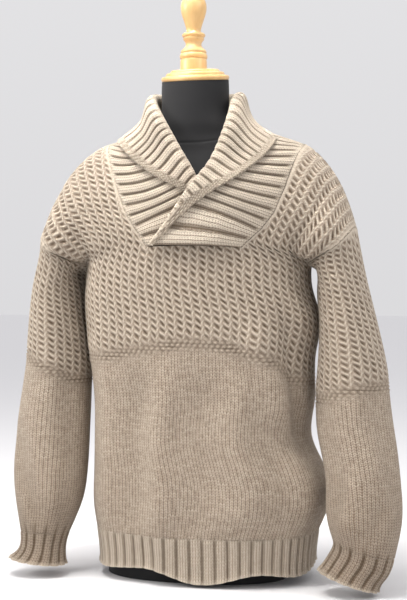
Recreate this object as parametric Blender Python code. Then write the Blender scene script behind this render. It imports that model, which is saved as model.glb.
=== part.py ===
"""Guernsey sweater with a shawl collar, worn by a limbless dress form.

The garment is a set of knitted walls: front, back, two drop-shoulder sleeves, two ribbed cuffs,
a ribbed hem and a ribbed shawl collar that folds over and crosses left over right.
The form is a smooth torso with a tilted wooden neck cap and a turned wooden finial, and it
stands on its own flat base.  X runs to the right as seen from the front, the front faces -Y,
Z is up, and the floor is Z = 0.  All tables are in millimetres.
"""

import math

import bpy
import numpy as np

MM = 0.001

# Cloth
WALL = 2.8
RIB_FURROW = 1.9
RIB_RISE = 1.5
SEAM_GAP = 0.3
ARMHOLE_SEAM_GAP = 0.6
UNDERARM_SEAM_GAP = 2.2
CUFF_SEAM_GAP = 0.35
SHARP_EDGE = math.radians(50)

# Body of the garment
SIDE_Y = -10.0
SQUARENESS = 2.4
HEM_SEAM_Z = 72.0
BODY_COLUMNS = ("z", "left", "right", "front", "back", "droop")
BODY_ROWS = (
    (72, -153, 182, -124, 106, 0),
    (105, -158, 196, -129, 112, 0),
    (150, -158, 197, -128, 113, 0),
    (210, -157, 171, -124, 109, 0),
    (270, -158, 176, -121, 105, 0),
    (330, -165, 175, -120, 103, 1),
    (395, -171, 183, -119, 102, 5),
    (440, -172, 171, -118, 101, 9),
)
CHEST_FRONT_Y = -118.0
CHEST_BACK_Y = 100.0
LEVEL_FOLDS_HEIGHT = 100.0
# Every fold swells over this share of its run and has died away at this one
FOLD_START = 0.3
FOLD_END = 1.15
SHOULDER_FOLD_REACH = 0.3
UNDERARM_DROOP = 12.0
# How much of the droop each of the nine points of a body row takes
DROOP_SHARES = (0.0, 0.85, 1.0, 0.45, 0.0, 0.45, 1.0, 0.85, 0.0)

# Armhole ring, where the dropped shoulder meets the sleeve
ARMHOLE_X = 203.5
ARMHOLE_Z = 500.0
ARMHOLE_HALF_HEIGHT = 43.0
ARMHOLE_HALF_DEPTH = 72.0
ARMHOLE_LEAN = math.radians(36.5)
ARMHOLE_BOW_OUT = 12.0
ARMHOLE_BOW_DOWN = 7.0
UNDERARM_SQUARENESS = 1.4
# Just beside the underarm the seam's end face leans away from the body by this much
UNDERARM_LEAN = 1.1
UNDERARM_LEAN_REACH = 0.22
# The seam's gap is wider within this distance of the underarm
UNDERARM_REACH = 55.0

# Yoke: points across each row of one half, from the middle out to the armhole.
# "share" is how far the row has risen from the underarm to the shoulder seam.
YOKE_COLUMNS = (
    "share", "mid_y", "mid_z", "chest_x", "chest_y", "chest_z",
    "corner_x", "corner_y", "corner_z", "arm_x", "arm_y", "arm_z",
)
FRONT_YOKE = (
    (0.25, -118, 508, 104, -105, 505, 157, -81, 492, 176, -68, 484),
    (0.50, -116, 548, 104, -104, 548, 162, -88, 537, 195, -90, 513),
    (0.75, -101, 602, 102, -92, 603, 162, -77, 592, 204, -76, 555),
    (0.90, -66, 655, 102, -58, 652, 166, -47, 632, 212, -43, 581),
    (1.00, 2, 690, 100, 4, 671, 166, 3, 649, 215, -3, 592),
)
BACK_YOKE = (
    (0.25, 100, 515, 104, 90, 511, 158, 62, 496, 176, 48, 485),
    (0.50, 98, 565, 104, 88, 562, 162, 68, 544, 195, 68, 515),
    (0.75, 88, 622, 102, 78, 618, 164, 60, 599, 205, 55, 559),
    (0.90, 60, 662, 102, 50, 656, 167, 37, 634, 212, 28, 583),
    (1.00, 2, 690, 100, 4, 671, 166, 3, 649, 215, -3, 592),
)

# Neck opening: where its edges run on the front, and on the back
NECK_COLUMNS = ("z", "left", "right")
FRONT_NECK = (
    (480, -42, 78),
    (497, -52, 91),
    (520, -67, 116),
    (544, -84, 134),
    (583, -101, 149),
    (625, -118, 160),
    (660, -134, 165),
    (700, -142, 167),
)
FRONT_NECK_FOOT_Z = 497.0
BACK_NECK_FOOT_Z = 657.0
BACK_NECK_FOOT_LEFT = -106.0
BACK_NECK_FOOT_RIGHT = 121.0

# Large folds of the body: where each starts and ends across the panel and in height.
# "across" runs from -1 at the left side seam to 1 at the right one.
# Columns: top_across, top_z, foot_across, foot_z, width, rise
FRONT_FOLDS = (
    (-0.13, 345, -0.20, 75, 0.055, 6.0),
    (-0.33, 330, -0.38, 80, 0.11, -6.5),
    (-0.58, 470, -0.60, 80, 0.08, 4.0),
    (0.12, 330, 0.04, 90, 0.13, -4.0),
    (0.34, 330, 0.33, 85, 0.10, 4.5),
    (0.40, 400, 0.62, 235, 0.08, 6.0),
    (0.58, 430, 0.80, 210, 0.08, -6.5),
    (0.66, 210, 0.72, 90, 0.10, 6.0),
    (0.52, 215, 0.55, 85, 0.07, -4.0),
    (-0.77, 625, -0.80, 480, 0.06, -6.0),
    (0.76, 625, 0.80, 480, 0.06, -6.0),
)
BACK_FOLDS = (
    (-0.50, 480, -0.40, 85, 0.09, 6.0),
    (-0.22, 400, -0.16, 80, 0.10, -5.5),
    (0.08, 430, 0.10, 85, 0.08, 5.5),
    (0.34, 400, 0.30, 80, 0.10, -5.5),
    (0.58, 480, 0.48, 85, 0.09, 6.0),
    (0.80, 430, 0.72, 160, 0.07, -6.0),
    (-0.80, 430, -0.74, 160, 0.07, -5.0),
)

# Hem: height of its lower edge, around the garment
HEM_COLUMNS = ("across", "drop_z")
FRONT_HEM = (
    (-1.0, 24), (-0.80, 18), (-0.66, 17), (-0.47, 21), (-0.23, 25), (-0.15, 18), (-0.09, 10),
    (0.0, 5), (0.09, 4), (0.16, 6), (0.25, 11), (0.34, 18), (0.43, 23), (0.63, 15), (0.78, 12),
    (0.86, 18), (1.0, 27),
)
BACK_HEM = (
    (-1.0, 24), (-0.6, 18), (-0.25, 12), (0.1, 17), (0.5, 12), (0.8, 21), (1.0, 27),
)
HEM_PULL_IN = 5.0
HEM_RIBS = 60

# Sleeves below the armhole, seen from the front, outer sizes; "turn" leans each ring.
# Columns: x, y, z, half_width, half_depth, turn
RIGHT_SLEEVE = (
    (215, -12, 482, 35, 70, 26),
    (222, -16, 448, 34.5, 66, 10),
    (230, -22, 402, 38.5, 62, 3),
    (237, -31, 355, 44, 58, 2),
    (241, -39, 310, 50, 55, 0),
    (243, -47, 265, 54, 52, 0),
    (249, -56, 218, 55, 49, 6),
    (259, -68, 170, 53, 47, 8),
    (262, -78, 128, 54, 46, 0),
    (264, -88, 90, 51, 43, -4),
    (264, -94, 64, 44, 36, -14),
)
LEFT_SLEEVE = (
    (214.5, -12, 484, 35, 70, 26),
    (222, -14, 448, 35, 66, 10),
    (224, -16, 402, 41, 62, 2),
    (223, -19, 340, 48, 58, 0),
    (225, -23, 290, 52, 55, 0),
    (228, -28, 245, 55, 52, 0),
    (229, -35, 200, 57, 50, 0),
    (228, -46, 155, 57, 48, 0),
    (225, -58, 118, 53, 44, -2),
    (224, -68, 88, 45, 38, -3),
    (226, -74, 66, 37, 33, 0),
)
# Cuffs, from the sleeve seam to the flared edge, with the sleeves' columns
RIGHT_CUFF = (
    (260, -98, 49, 43, 32, -26),
    (252, -102, 36, 42, 31, -24),
    (243, -106, 21, 44, 34, -18),
)
LEFT_CUFF = (
    (227, -79, 50, 34, 29, 2),
    (228, -83, 37, 35, 30, 4),
    (233, -87, 22, 43, 35, 6),
)
CUFF_RIBS = 15
SLEEVE_SQUARENESS = 2.15
# Sleeve folds, columns: angle, top_z, foot_angle, foot_z, width, rise
RIGHT_SLEEVE_FOLDS = (
    (80, 430, 100, 250, 22, 3.5),
    (120, 330, 150, 120, 24, -4.0),
    (40, 300, 70, 110, 24, -3.5),
    (95, 190, 60, 75, 20, 4.0),
    (250, 400, 280, 150, 26, -4.0),
    (310, 300, 300, 110, 22, 4.0),
)
LEFT_SLEEVE_FOLDS = (
    (95, 440, 80, 260, 22, 3.5),
    (110, 300, 60, 90, 24, 5.0),
    (140, 230, 100, 85, 22, -4.5),
    (60, 330, 45, 160, 22, -4.0),
    (250, 400, 280, 150, 26, -4.0),
    (310, 300, 300, 110, 22, 4.0),
)

# Shawl collar, one row for each section around the neck seam, from the left foot of the
# opening over the back to the right foot.  "seam" is the share of the seam's length, the root
# is where the band turns up, the fold is its highest line and the edge is the flap's free edge.
COLLAR_COLUMNS = (
    "seam", "root_x", "root_y", "root_z", "fold_x", "fold_y", "fold_z",
    "edge_x", "edge_y", "edge_z", "roll", "sag",
)
COLLAR_SECTIONS = (
    (0.000, -6, -119, 503, 40, -111, 504, 30, -118.5, 505, 3.2, 0),
    (0.070, -24, -118, 540, 34, -112, 552, 23, -119.5, 550, 3.4, 0),
    (0.140, -36, -115, 578, 20, -110, 600, 0, -118, 579, 3.4, 0),
    (0.210, -66, -98, 622, -7, -97, 643, -46, -116, 604, 5.5, 3),
    (0.275, -86, -56, 664, -36, -77, 693, -95, -90, 641, 7.0, 8),
    (0.340, -78, -8, 688, -56, -44, 725, -119, -32, 665, 6.0, 12),
    (0.420, -58, 26, 696, -50, 12, 735, -93, 56, 663, 6.0, 12),
    (0.500, 2, 44, 700, 2, 36, 738, 2, 82, 652, 6.0, 12),
    (0.580, 60, 26, 696, 51, 12, 734, 99, 56, 663, 6.0, 12),
    (0.660, 82, -8, 688, 55, -30, 722, 127, -34, 660, 6.0, 12),
    (0.725, 98, -60, 664, 58, -70, 684, 125, -88, 636, 7.0, 8),
    (0.790, 95, -102, 618, 46, -102, 626, 92, -121, 601, 5.5, 3),
    (0.860, 80, -124, 574, 22, -126, 589, 46, -137, 571, 3.4, 0),
    (0.930, 58, -130, 537, -8, -128, 546, 3, -135, 538, 2.8, 0),
    (1.000, 30, -130, 502, -44, -125, 504, -36, -131, 505, 2.6, 0),
)
COLLAR_RIBS = 42
# The seam's gap at the front, and under the flap at the back, where the seam turns corners
COLLAR_SEAM_GAP = 0.6
COLLAR_BACK_GAP = 2.4
COLLAR_BACK_SHARE = 0.27
COLLAR_GAP_FADE = 0.06
# How far the flap has come towards its edge where it lies closest to the band
FLAP_LAP = 0.45
# Places across the collar: seam 0, root 1, fold 2 to 2.7, and the free edge 4.3
COLLAR_GUIDES = (0.0, 1.0, 2.0, 2.35, 2.7, 3.5, 4.3)
COLLAR_PATH = (0.0, 0.12, 1.0, 2.0, 2.35, 2.7, 3.1, 3.7, 4.3)
BAND_RIBS_END = 2.5
FLAP_RIBS_START = 2.2
RIB_FADE = 0.6
SEAM_RIB_FADE = 0.12
NECK_X = 0.0
NECK_Y = -29.0
NECK_TOP_Z = 752.0

# Dress form
FORM_COLUMNS = ("z", "half_width", "front", "back", "squareness")
FORM_ROWS = (
    (0, 141, -95, 84, 2.4),
    (60, 141, -97, 88, 2.4),
    (150, 131, -94, 86, 2.4),
    (240, 118, -90, 78, 2.3),
    (330, 127, -98, 83, 2.2),
    (430, 141, -109, 88, 2.2),
    (520, 154, -106, 88, 2.2),
    (580, 163, -95, 82, 2.1),
    (618, 167, -86, 68, 1.9),
    (638, 165, -81, 55.5, 1.62),
    (650, 147.5, -80, 45, 1.5),
    (658, 119.5, -80, 38, 1.5),
    (666, 94, -80, 32, 1.6),
    (680, 67, -81, 26, 1.88),
    (700, 53, -81, 23, 2.0),
    (730, 51.5, -80.5, 22.5, 2.0),
    (NECK_TOP_Z, 51, -80, 22, 2.0),
)
NECK_CAP_TILT = math.radians(9.0)
# Columns: radius, height
NECK_CAP = (
    (50.5, 0), (52.0, 2), (52.0, 5), (50.5, 7), (45.0, 7.6), (44.5, 11), (43.0, 12.6),
    (37.5, 13.2), (37.0, 15.5), (35.0, 17), (26.0, 17.6),
)
FINIAL_X = -2.0
FINIAL = (
    (20.4, 0), (20.4, 13.5), (18.6, 14.5), (20.8, 16), (21.2, 19), (20.6, 22), (18.4, 23.2),
    (19.8, 24.5), (19.6, 27.5), (16.5, 30), (12.6, 34), (11.8, 38), (13.0, 41.5), (15.6, 44),
    (16.4, 46.4), (14.6, 47.8), (17.6, 49.5), (18.0, 52), (16.4, 54), (11.6, 55.8),
    (10.8, 58.5), (12.4, 65), (15.2, 74), (18.4, 83), (20.0, 91.5), (19.6, 99),
    (16.8, 106.5), (11.5, 111.8), (5.0, 114),
)
ROUND_SIDES = 20

# Mesh fineness
BODY_BANDS = 11
YOKE_BANDS = 10
SIDE_LANES = 7
MIDDLE_LANES = 8
SLEEVE_BANDS = 11
FORM_SIDES = 36
FORM_BANDS = 18
HEM_BANDS = 2
CUFF_BANDS = 2
RIB_PROFILE = ((0.0, 0.0), (0.18, 1.0), (0.82, 1.0))

COLOURS = {
    "knit": ((0.47, 0.40, 0.33), 0.95),
    "ribbing": ((0.50, 0.43, 0.35), 0.95),
    "form_cloth": ((0.022, 0.022, 0.024), 0.85),
    "turned_wood": ((0.72, 0.50, 0.27), 0.45),
}


def table(columns, rows):
    """A table as a dictionary from a column's name to its numbers."""
    numbers = np.array(rows, float)
    return {name: numbers[:, i] for i, name in enumerate(columns)}


def spline(knots, values, at):
    """The natural cubic spline through values at knots, read at the places in at."""
    knots = np.asarray(knots, float)
    values = np.asarray(values, float)
    at = np.asarray(at, float)
    count = len(knots)
    gaps = np.diff(knots)
    matrix = np.eye(count)
    shape = (count,) + values.shape[1:]
    right = np.zeros(shape)
    for i in range(1, count - 1):
        matrix[i, i - 1: i + 2] = gaps[i - 1], 2 * (gaps[i - 1] + gaps[i]), gaps[i]
        right[i] = 6 * ((values[i + 1] - values[i]) / gaps[i] - (values[i] - values[i - 1]) / gaps[i - 1])
    bend = np.linalg.solve(matrix, right.reshape(count, -1)).reshape(shape)
    span = np.clip(np.searchsorted(knots, at) - 1, 0, count - 2)
    extra = (1,) * (values.ndim - 1)
    gap = gaps[span].reshape(at.shape + extra)
    before = (at - knots[span]).reshape(at.shape + extra)
    after = gap - before
    return (
        bend[span] * after**3 / (6 * gap)
        + bend[span + 1] * before**3 / (6 * gap)
        + (values[span] / gap - bend[span] * gap / 6) * after
        + (values[span + 1] / gap - bend[span + 1] * gap / 6) * before
    )


def unit(vectors):
    """The vectors, each made one long."""
    lengths = np.linalg.norm(vectors, axis=-1, keepdims=True)
    return vectors / np.maximum(lengths, 1e-9)


def smooth_step(value):
    """0 below 0, 1 above 1, and a smooth rise between."""
    value = np.clip(value, 0.0, 1.0)
    return value * value * (3 - 2 * value)


def even_shares(lines, shares):
    """Points at equal shares (-1 to 1) of the length of each line; lines is rows by points."""
    result = np.empty((len(lines), shares.shape[-1], 3))
    for i, line in enumerate(lines):
        steps = np.linalg.norm(np.diff(line, axis=0), axis=1)
        length = np.concatenate([[0.0], np.cumsum(steps)])
        place = 2 * length / length[-1] - 1
        wanted = shares if shares.ndim == 1 else shares[i]
        for axis in range(3):
            result[i, :, axis] = np.interp(wanted, place, line[:, axis])
    return result


def superellipse(angles, squareness):
    """Cosine and sine, squared off as a body's section is."""
    power = 2.0 / squareness
    cosine = np.sign(np.cos(angles)) * np.abs(np.cos(angles)) ** power
    sine = np.sign(np.sin(angles)) * np.abs(np.sin(angles)) ** power
    return cosine, sine


NET_ANGLES = np.radians((0, 10, 28, 55, 90, 125, 152, 170, 180))


def armhole_point(share, front):
    """A point of the right armhole ring, from the underarm (share 0) to the shoulder (1)."""
    share = np.asarray(share, float)
    angle = math.pi * np.clip(share, 0.0, 1.0)
    power = np.where(share < 0.5, 2 / UNDERARM_SQUARENESS, 1.0)
    sine = np.abs(np.sin(angle)) ** power
    cosine = np.sign(np.cos(angle)) * np.abs(np.cos(angle)) ** power
    up = -cosine * ARMHOLE_HALF_HEIGHT
    out = sine * ARMHOLE_HALF_DEPTH
    bow = np.sin(angle) ** 2
    return np.stack(
        [
            ARMHOLE_X + up * math.cos(ARMHOLE_LEAN) + bow * ARMHOLE_BOW_OUT,
            SIDE_Y + (-out if front else out),
            ARMHOLE_Z + up * math.sin(ARMHOLE_LEAN) - bow * ARMHOLE_BOW_DOWN,
        ],
        axis=-1,
    )


def body_net_row(z, left, right, depth_y, droop):
    """Nine points of one half ring of the body, from the left side seam to the right one."""
    cosine, sine = superellipse(NET_ANGLES, SQUARENESS)
    middle = (left + right) / 2
    half = (right - left) / 2
    height = z - droop * np.array(DROOP_SHARES)
    return np.stack([middle - half * cosine, SIDE_Y + (depth_y - SIDE_Y) * sine, height], axis=1)


def panel_net(front):
    """Control points of a panel and the rise of each of their rows: 0 to 1 up to the underarm,
    and on to 2 at the shoulder seam."""
    body = table(BODY_COLUMNS, BODY_ROWS)
    underarm = armhole_point(0.0, front)
    span = underarm[2] - HEM_SEAM_Z
    depth = body["front"] if front else body["back"]
    net = [
        body_net_row(body["z"][i], body["left"][i], body["right"][i], depth[i], body["droop"][i])
        for i in range(len(depth))
    ]
    rises = list((body["z"] - HEM_SEAM_Z) / span)
    chest = CHEST_FRONT_Y if front else CHEST_BACK_Y
    net.append(body_net_row(underarm[2], -underarm[0], underarm[0], chest, UNDERARM_DROOP))
    rises.append(1.0)
    yoke = table(YOKE_COLUMNS, FRONT_YOKE if front else BACK_YOKE)
    for i, share in enumerate(yoke["share"]):
        half = [
            (yoke[name + "_x"][i], yoke[name + "_y"][i], yoke[name + "_z"][i])
            for name in ("chest", "corner", "arm")
        ] + [armhole_point(share, front)]
        right = np.array(half)
        left = right[::-1] * (-1, 1, 1)
        middle = np.array([[0.0, yoke["mid_y"][i], yoke["mid_z"][i]]])
        net.append(np.concatenate([left, middle, right]))
        rises.append(1.0 + share)
    return np.array(rises), np.array(net)


def panel_points(front, rises, shares):
    """Points of a panel's plain surface at these rises and shares of each row's length."""
    knots, net = panel_net(front)
    lanes = spline(knots, net, rises)
    below = rises < 1.0
    sides = knots <= 1.0
    for edge in (0, -1):
        lanes[below, edge] = spline(knots[sides], net[sides, edge], rises[below])
    edge_share = rises[rises >= 1.0] - 1.0
    edge = armhole_point(edge_share, front)
    lanes[rises >= 1.0, -1] = edge
    lanes[rises >= 1.0, 0] = edge * (-1, 1, 1)
    places = np.linspace(0, len(NET_ANGLES) - 1, 161)
    lines = spline(np.arange(len(NET_ANGLES)), lanes.transpose(1, 0, 2), places).transpose(1, 0, 2)
    return even_shares(lines, shares)


def fold_rise(folds, across, z):
    """How far the folds move the cloth outwards at these places."""
    total = np.zeros_like(z)
    for top_across, top_z, foot_across, foot_z, width, rise in folds:
        run = (top_z - z) / (top_z - foot_z)
        centre = top_across + (foot_across - top_across) * run
        ends = smooth_step(run / FOLD_START) * smooth_step((FOLD_END - run) / FOLD_START)
        total += rise * ends * np.exp(-(((across - centre) / width) ** 2))
    return total


def grid_normals(points, closed=False):
    """Unit normals of a grid of points, rows by columns."""
    if closed:
        padded = np.concatenate([points[:, -1:], points, points[:, :1]], axis=1)
        across = (padded[:, 2:] - padded[:, :-2]) / 2
    else:
        across = np.gradient(points, axis=1)
    along = np.gradient(points, axis=0)
    return unit(np.cross(across, along))


def folded_panel(front, rises, shares):
    """A panel's inner surface with its folds, and its outward normals."""
    plain = panel_points(front, rises, shares)
    facing = 1 if front else -1
    normals = grid_normals(plain) * facing
    across = np.broadcast_to(shares, plain.shape[:2])
    folds = FRONT_FOLDS if front else BACK_FOLDS
    outward = normals.copy()
    outward[..., 2] *= smooth_step((plain[..., 2] - HEM_SEAM_Z) / LEVEL_FOLDS_HEIGHT)
    below_shoulder = smooth_step((2.0 - rises) / SHOULDER_FOLD_REACH)[:, None]
    rise = fold_rise(folds, across, plain[..., 2]) * below_shoulder
    moved = plain + unit(outward) * rise[..., None]
    return moved, grid_normals(moved) * facing


def front_neck_shares(rises):
    """Where the neck opening's two edges lie on each row of the front."""
    neck = table(NECK_COLUMNS, FRONT_NECK)
    fine = np.linspace(-1, 1, 401)
    found = []
    for row in panel_points(True, rises, fine):
        edges = [np.interp(row[:, 2], neck["z"], neck[side]) for side in ("left", "right")]
        found.append([np.interp(0, row[:, 0] - edge, fine) for edge in edges])
    return np.array(found)


def back_neck_shares(rises):
    """The same on the back: from the foot's corners to the front's edges at the shoulder seam."""
    foot = foot_rise(False)
    fine = np.linspace(-1, 1, 401)
    row = panel_points(False, np.array([foot]), fine)[0]
    corners = np.interp((BACK_NECK_FOOT_LEFT, BACK_NECK_FOOT_RIGHT), row[:, 0], fine)
    run = np.clip((rises - foot) / (2.0 - foot), 0, 1)[:, None]
    return corners + (front_neck_shares(np.array([2.0])) - corners) * run


def foot_rise(front):
    """The rise of the row at the foot of the neck opening."""
    knots, net = panel_net(front)
    foot = FRONT_NECK_FOOT_Z if front else BACK_NECK_FOOT_Z
    rises = np.linspace(1, 2, 401)
    middle = spline(knots, net[:, 4, 2], rises)
    return np.interp(foot, middle, rises)


def panel_layout(front):
    """Rises, shares for every row, and which cells of the panel's grid hold cloth."""
    foot = foot_rise(front)
    below = np.linspace(0, 1, BODY_BANDS + 1)
    yoke = 1 + np.linspace(0, 1, YOKE_BANDS + 1)
    nearest = 1 + np.argmin(np.abs(yoke[1:-1] - foot))
    yoke[nearest] = foot
    rises = np.concatenate([below, yoke[1:]])
    above = rises >= foot - 1e-9
    shares = np.empty((len(rises), 2 * SIDE_LANES + MIDDLE_LANES + 1))
    neck_shares = front_neck_shares if front else back_neck_shares
    edges = neck_shares(np.where(above, rises, foot))
    for i, (left, right) in enumerate(edges):
        shares[i] = np.concatenate(
            [
                np.linspace(-1, left, SIDE_LANES + 1)[:-1],
                np.linspace(left, right, MIDDLE_LANES + 1)[:-1],
                np.linspace(right, 1, SIDE_LANES + 1),
            ]
        )
    kept = np.ones((len(rises) - 1, shares.shape[1] - 1), bool)
    kept[above[:-1], SIDE_LANES: SIDE_LANES + MIDDLE_LANES] = False
    return rises, shares, kept


def yoke_rows(front):
    """The shares of the armhole at which a panel's rows end."""
    rises, _, _ = panel_layout(front)
    return rises[rises >= 1.0 - 1e-9] - 1.0


def new_object(name, points, faces, colour):
    """A closed mesh object from points in millimetres, its faces turned outwards."""
    points = np.asarray(points, float)
    used = sorted({i for face in faces for i in face})
    place = {old: new for new, old in enumerate(used)}
    faces = [tuple(place[i] for i in face) for face in faces]
    points = points[used]
    volume = 0.0
    for face in faces:
        for k in range(1, len(face) - 1):
            volume += np.dot(points[face[0]], np.cross(points[face[k]], points[face[k + 1]]))
    if volume < 0:
        faces = [face[::-1] for face in faces]
    mesh = bpy.data.meshes.new(name)
    mesh.from_pydata((points * MM).tolist(), [], faces)
    mesh.update()
    mesh.shade_smooth()
    mesh.set_sharp_from_angle(angle=SHARP_EDGE)
    rgb, roughness = COLOURS[colour]
    material = bpy.data.materials.get(colour) or bpy.data.materials.new(colour)
    material.use_nodes = True
    shader = material.node_tree.nodes["Principled BSDF"]
    shader.inputs["Base Color"].default_value = (*rgb, 1)
    shader.inputs["Roughness"].default_value = roughness
    shader.inputs["Metallic"].default_value = 0.0
    mesh.materials.append(material)
    piece = bpy.data.objects.new(name, mesh)
    bpy.context.scene.collection.objects.link(piece)
    return piece


def wall_faces(kept, columns, closed):
    """Faces of a wall between two grids of points, the outer grid first, then the inner one."""
    rows = kept.shape[0] + 1
    count = rows * columns
    outside, edges = [], set()
    for i in range(kept.shape[0]):
        for j in range(kept.shape[1]):
            if kept[i, j]:
                k = (j + 1) % columns if closed else j + 1
                face = (i * columns + j, i * columns + k, (i + 1) * columns + k, (i + 1) * columns + j)
                outside += [face[:3], (face[0],) + face[2:]]
                edges.update(zip(face, face[1:] + face[:1]))
    faces = outside + [tuple(i + count for i in face[::-1]) for face in outside]
    faces += [(q, p, p + count, q + count) for p, q in edges if (q, p) not in edges]
    return faces


def add_wall(name, outer, inner, colour, kept=None, closed=False):
    """A solid wall between an outer and an inner grid of points."""
    rows, columns = outer.shape[:2]
    if kept is None:
        kept = np.ones((rows - 1, columns if closed else columns - 1), bool)
    points = np.concatenate([outer.reshape(-1, 3), inner.reshape(-1, 3)])
    return new_object(name, points, wall_faces(kept, columns, closed), colour)


def shared_offset(first, second):
    """The offset that two walls with these normals share where they meet."""
    return WALL * unit(first + second)


def sleeve_rings(rows, side, bands):
    """Centres, sizes and turns along a sleeve or cuff, read evenly along its length."""
    numbers = np.array(rows, float)
    steps = np.linalg.norm(np.diff(numbers[:, :3], axis=0), axis=1)
    length = np.concatenate([[0.0], np.cumsum(steps)])
    even = spline(length, numbers, np.linspace(0, length[-1], bands + 1))
    even[:, 0] *= side
    return even


def ring_points(ring, angles, side, offset=0.0):
    """Points of one ring; angle 0 is the inner side, a quarter turn is the front."""
    x, y, z, half_width, half_depth, turn = ring
    cosine, sine = superellipse(angles, SLEEVE_SQUARENESS)
    across = np.array([math.cos(math.radians(turn)) * side, 0, math.sin(math.radians(turn))])
    ahead = np.array([0, -1, 0])
    wide = -cosine * (half_width + offset)
    deep = sine * (half_depth + offset)
    return np.array([x, y, z]) + wide[:, None] * across + deep[:, None] * ahead


def sleeve_angles():
    """Angles round the armhole at which the panels' rows end, front first, then back."""
    front = yoke_rows(True) * math.pi
    back = yoke_rows(False) * math.pi
    return front, back


def sleeve_surface(rows, side, folds):
    """A sleeve's inner surface from the armhole to the cuff seam, rows by columns."""
    front, back = sleeve_angles()
    top = np.concatenate([armhole_point(front / math.pi, True), armhole_point(back[-2:0:-1] / math.pi, False)])
    top = top * (side, 1, 1)
    angles = np.concatenate([front, 2 * math.pi - back[-2:0:-1]])
    grid = [top]
    for ring in sleeve_rings(rows, side, SLEEVE_BANDS - 1):
        ring[3:5] -= WALL
        grid.append(ring_points(ring, angles, side))
    grid = np.array(grid)
    normals = grid_normals(grid, closed=True) * -side
    degrees = np.degrees(np.broadcast_to(angles, grid.shape[:2]))
    rise = np.zeros(grid.shape[:2])
    for angle, top_z, foot_angle, foot_z, width, height in folds:
        run = (top_z - grid[..., 2]) / (top_z - foot_z)
        centre = angle + (foot_angle - angle) * run
        ends = smooth_step(run / FOLD_START) * smooth_step((FOLD_END - run) / FOLD_START)
        rise += height * ends * np.exp(-(((degrees - centre) / width) ** 2))
    rise[-1] = 0
    grid += normals * rise[..., None]
    return grid, grid_normals(grid, closed=True) * -side


def build_panels_and_sleeves():
    """The front, back and both sleeves, with their shared edges mitred."""
    sleeves = {}
    for side, name, rows, folds in (
        (1, "right_sleeve", RIGHT_SLEEVE, RIGHT_SLEEVE_FOLDS),
        (-1, "left_sleeve", LEFT_SLEEVE, LEFT_SLEEVE_FOLDS),
    ):
        grid, normals = sleeve_surface(rows, side, folds)
        sleeves[side] = {"name": name, "grid": grid, "normals": normals}

    panels = {}
    for front in (True, False):
        rises, shares, kept = panel_layout(front)
        grid, normals = folded_panel(front, rises, shares)
        seam = rises >= 1.0 - 1e-9
        grid[seam, -1] = armhole_point(rises[seam] - 1, front)
        grid[seam, 0] = grid[seam, -1] * (-1, 1, 1)
        offset = normals * WALL
        below = rises < 1.0 - 1e-9
        level = normals[below].copy()
        level[..., 2] = 0
        offset[below] = unit(level) * WALL
        for edge in (0, -1):
            sideways = np.array([1.0 if edge else -1.0, 0, 0])
            offset[below, edge] = sideways * WALL
        panels[front] = {"rises": rises, "kept": kept, "grid": grid, "normals": normals, "offset": offset}

    shoulder = (panels[True]["normals"][-1] + panels[False]["normals"][-1]) / 2
    for front in (True, False):
        panel = panels[front]
        seam = panel["rises"] >= 1.0 - 1e-9
        panel["normals"][-1] = unit(shoulder)
        panel["offset"][-1] = unit(shoulder) * WALL
        for side, edge in ((1, -1), (-1, 0)):
            normals = panel["normals"][seam, edge]
            normals[0] = (side, 0, 0)
            count = len(normals)
            ring = np.arange(count) if front else (-np.arange(count)) % (2 * count - 2)
            sleeve = sleeves[side]
            shares = panel["rises"][seam] - 1
            lean = UNDERARM_LEAN * np.sin(np.clip(shares / UNDERARM_LEAN_REACH, 0, 1) * math.pi) ** 2
            sideways = lean[:, None] * np.array([side, 0, 0])
            panel["offset"][seam, edge] = shared_offset(normals + sideways, sleeve["normals"][0][ring])
            sleeve.setdefault("offset", sleeve["normals"] * WALL)[0][ring] = panel["offset"][seam, edge]

    for front, name in ((True, "front"), (False, "back")):
        panel = panels[front]
        seam_shift = np.array([0, -SEAM_GAP / 2 if front else SEAM_GAP / 2, 0])
        grid = panel["grid"].copy()
        below = panel["rises"] <= 1.0 + 1e-9
        for edge in (0, -1):
            grid[below, edge] += seam_shift
        grid[-1] += seam_shift
        panel["inner"] = grid
        panel["outer"] = grid + panel["offset"]
        add_wall(name, panel["outer"], grid, "knit", kept=panel["kept"])

    for side, sleeve in sleeves.items():
        grid = sleeve["grid"]
        tangent = np.roll(grid[0], -1, axis=0) - np.roll(grid[0], 1, axis=0)
        square = unit(np.cross(tangent, sleeve["offset"][0]))
        square *= np.where(np.sum(square * (grid[1] - grid[0]), axis=1, keepdims=True) < 0, -1, 1)
        inner = grid.copy()
        outer = grid + sleeve["offset"]
        low = 1 - smooth_step(np.linalg.norm(grid[0] - grid[0, 0], axis=1, keepdims=True) / UNDERARM_REACH)
        apart = square * (ARMHOLE_SEAM_GAP + (UNDERARM_SEAM_GAP - ARMHOLE_SEAM_GAP) * low)
        inner[0] += apart
        outer[0] += apart
        outer[-1] = inner[-1] + flat_offset(inner[-1], WALL)
        add_wall(sleeve["name"], outer, inner, "knit", closed=True)
    return panels


def flat_offset(ring, thickness):
    """Offsets outwards in the plane of a closed ring of points."""
    ahead = np.roll(ring, -1, axis=0) - np.roll(ring, 1, axis=0)
    centre = ring.mean(axis=0)
    axis = unit(np.sum(np.cross(ring - centre, np.roll(ring, -1, axis=0) - centre), axis=0))
    outward = unit(np.cross(ahead, axis))
    outward *= np.where(np.sum(outward * (ring - centre), axis=-1, keepdims=True) < 0, -1, 1)
    return outward * thickness


def rib_columns(ribs):
    """Places round a ribbed band, in ribs, and how high the cloth stands at each."""
    places, heights = [], []
    for rib in range(ribs):
        for place, height in RIB_PROFILE:
            places.append(rib + place)
            heights.append(height)
    return np.array(places) / ribs, np.array(heights)


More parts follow.
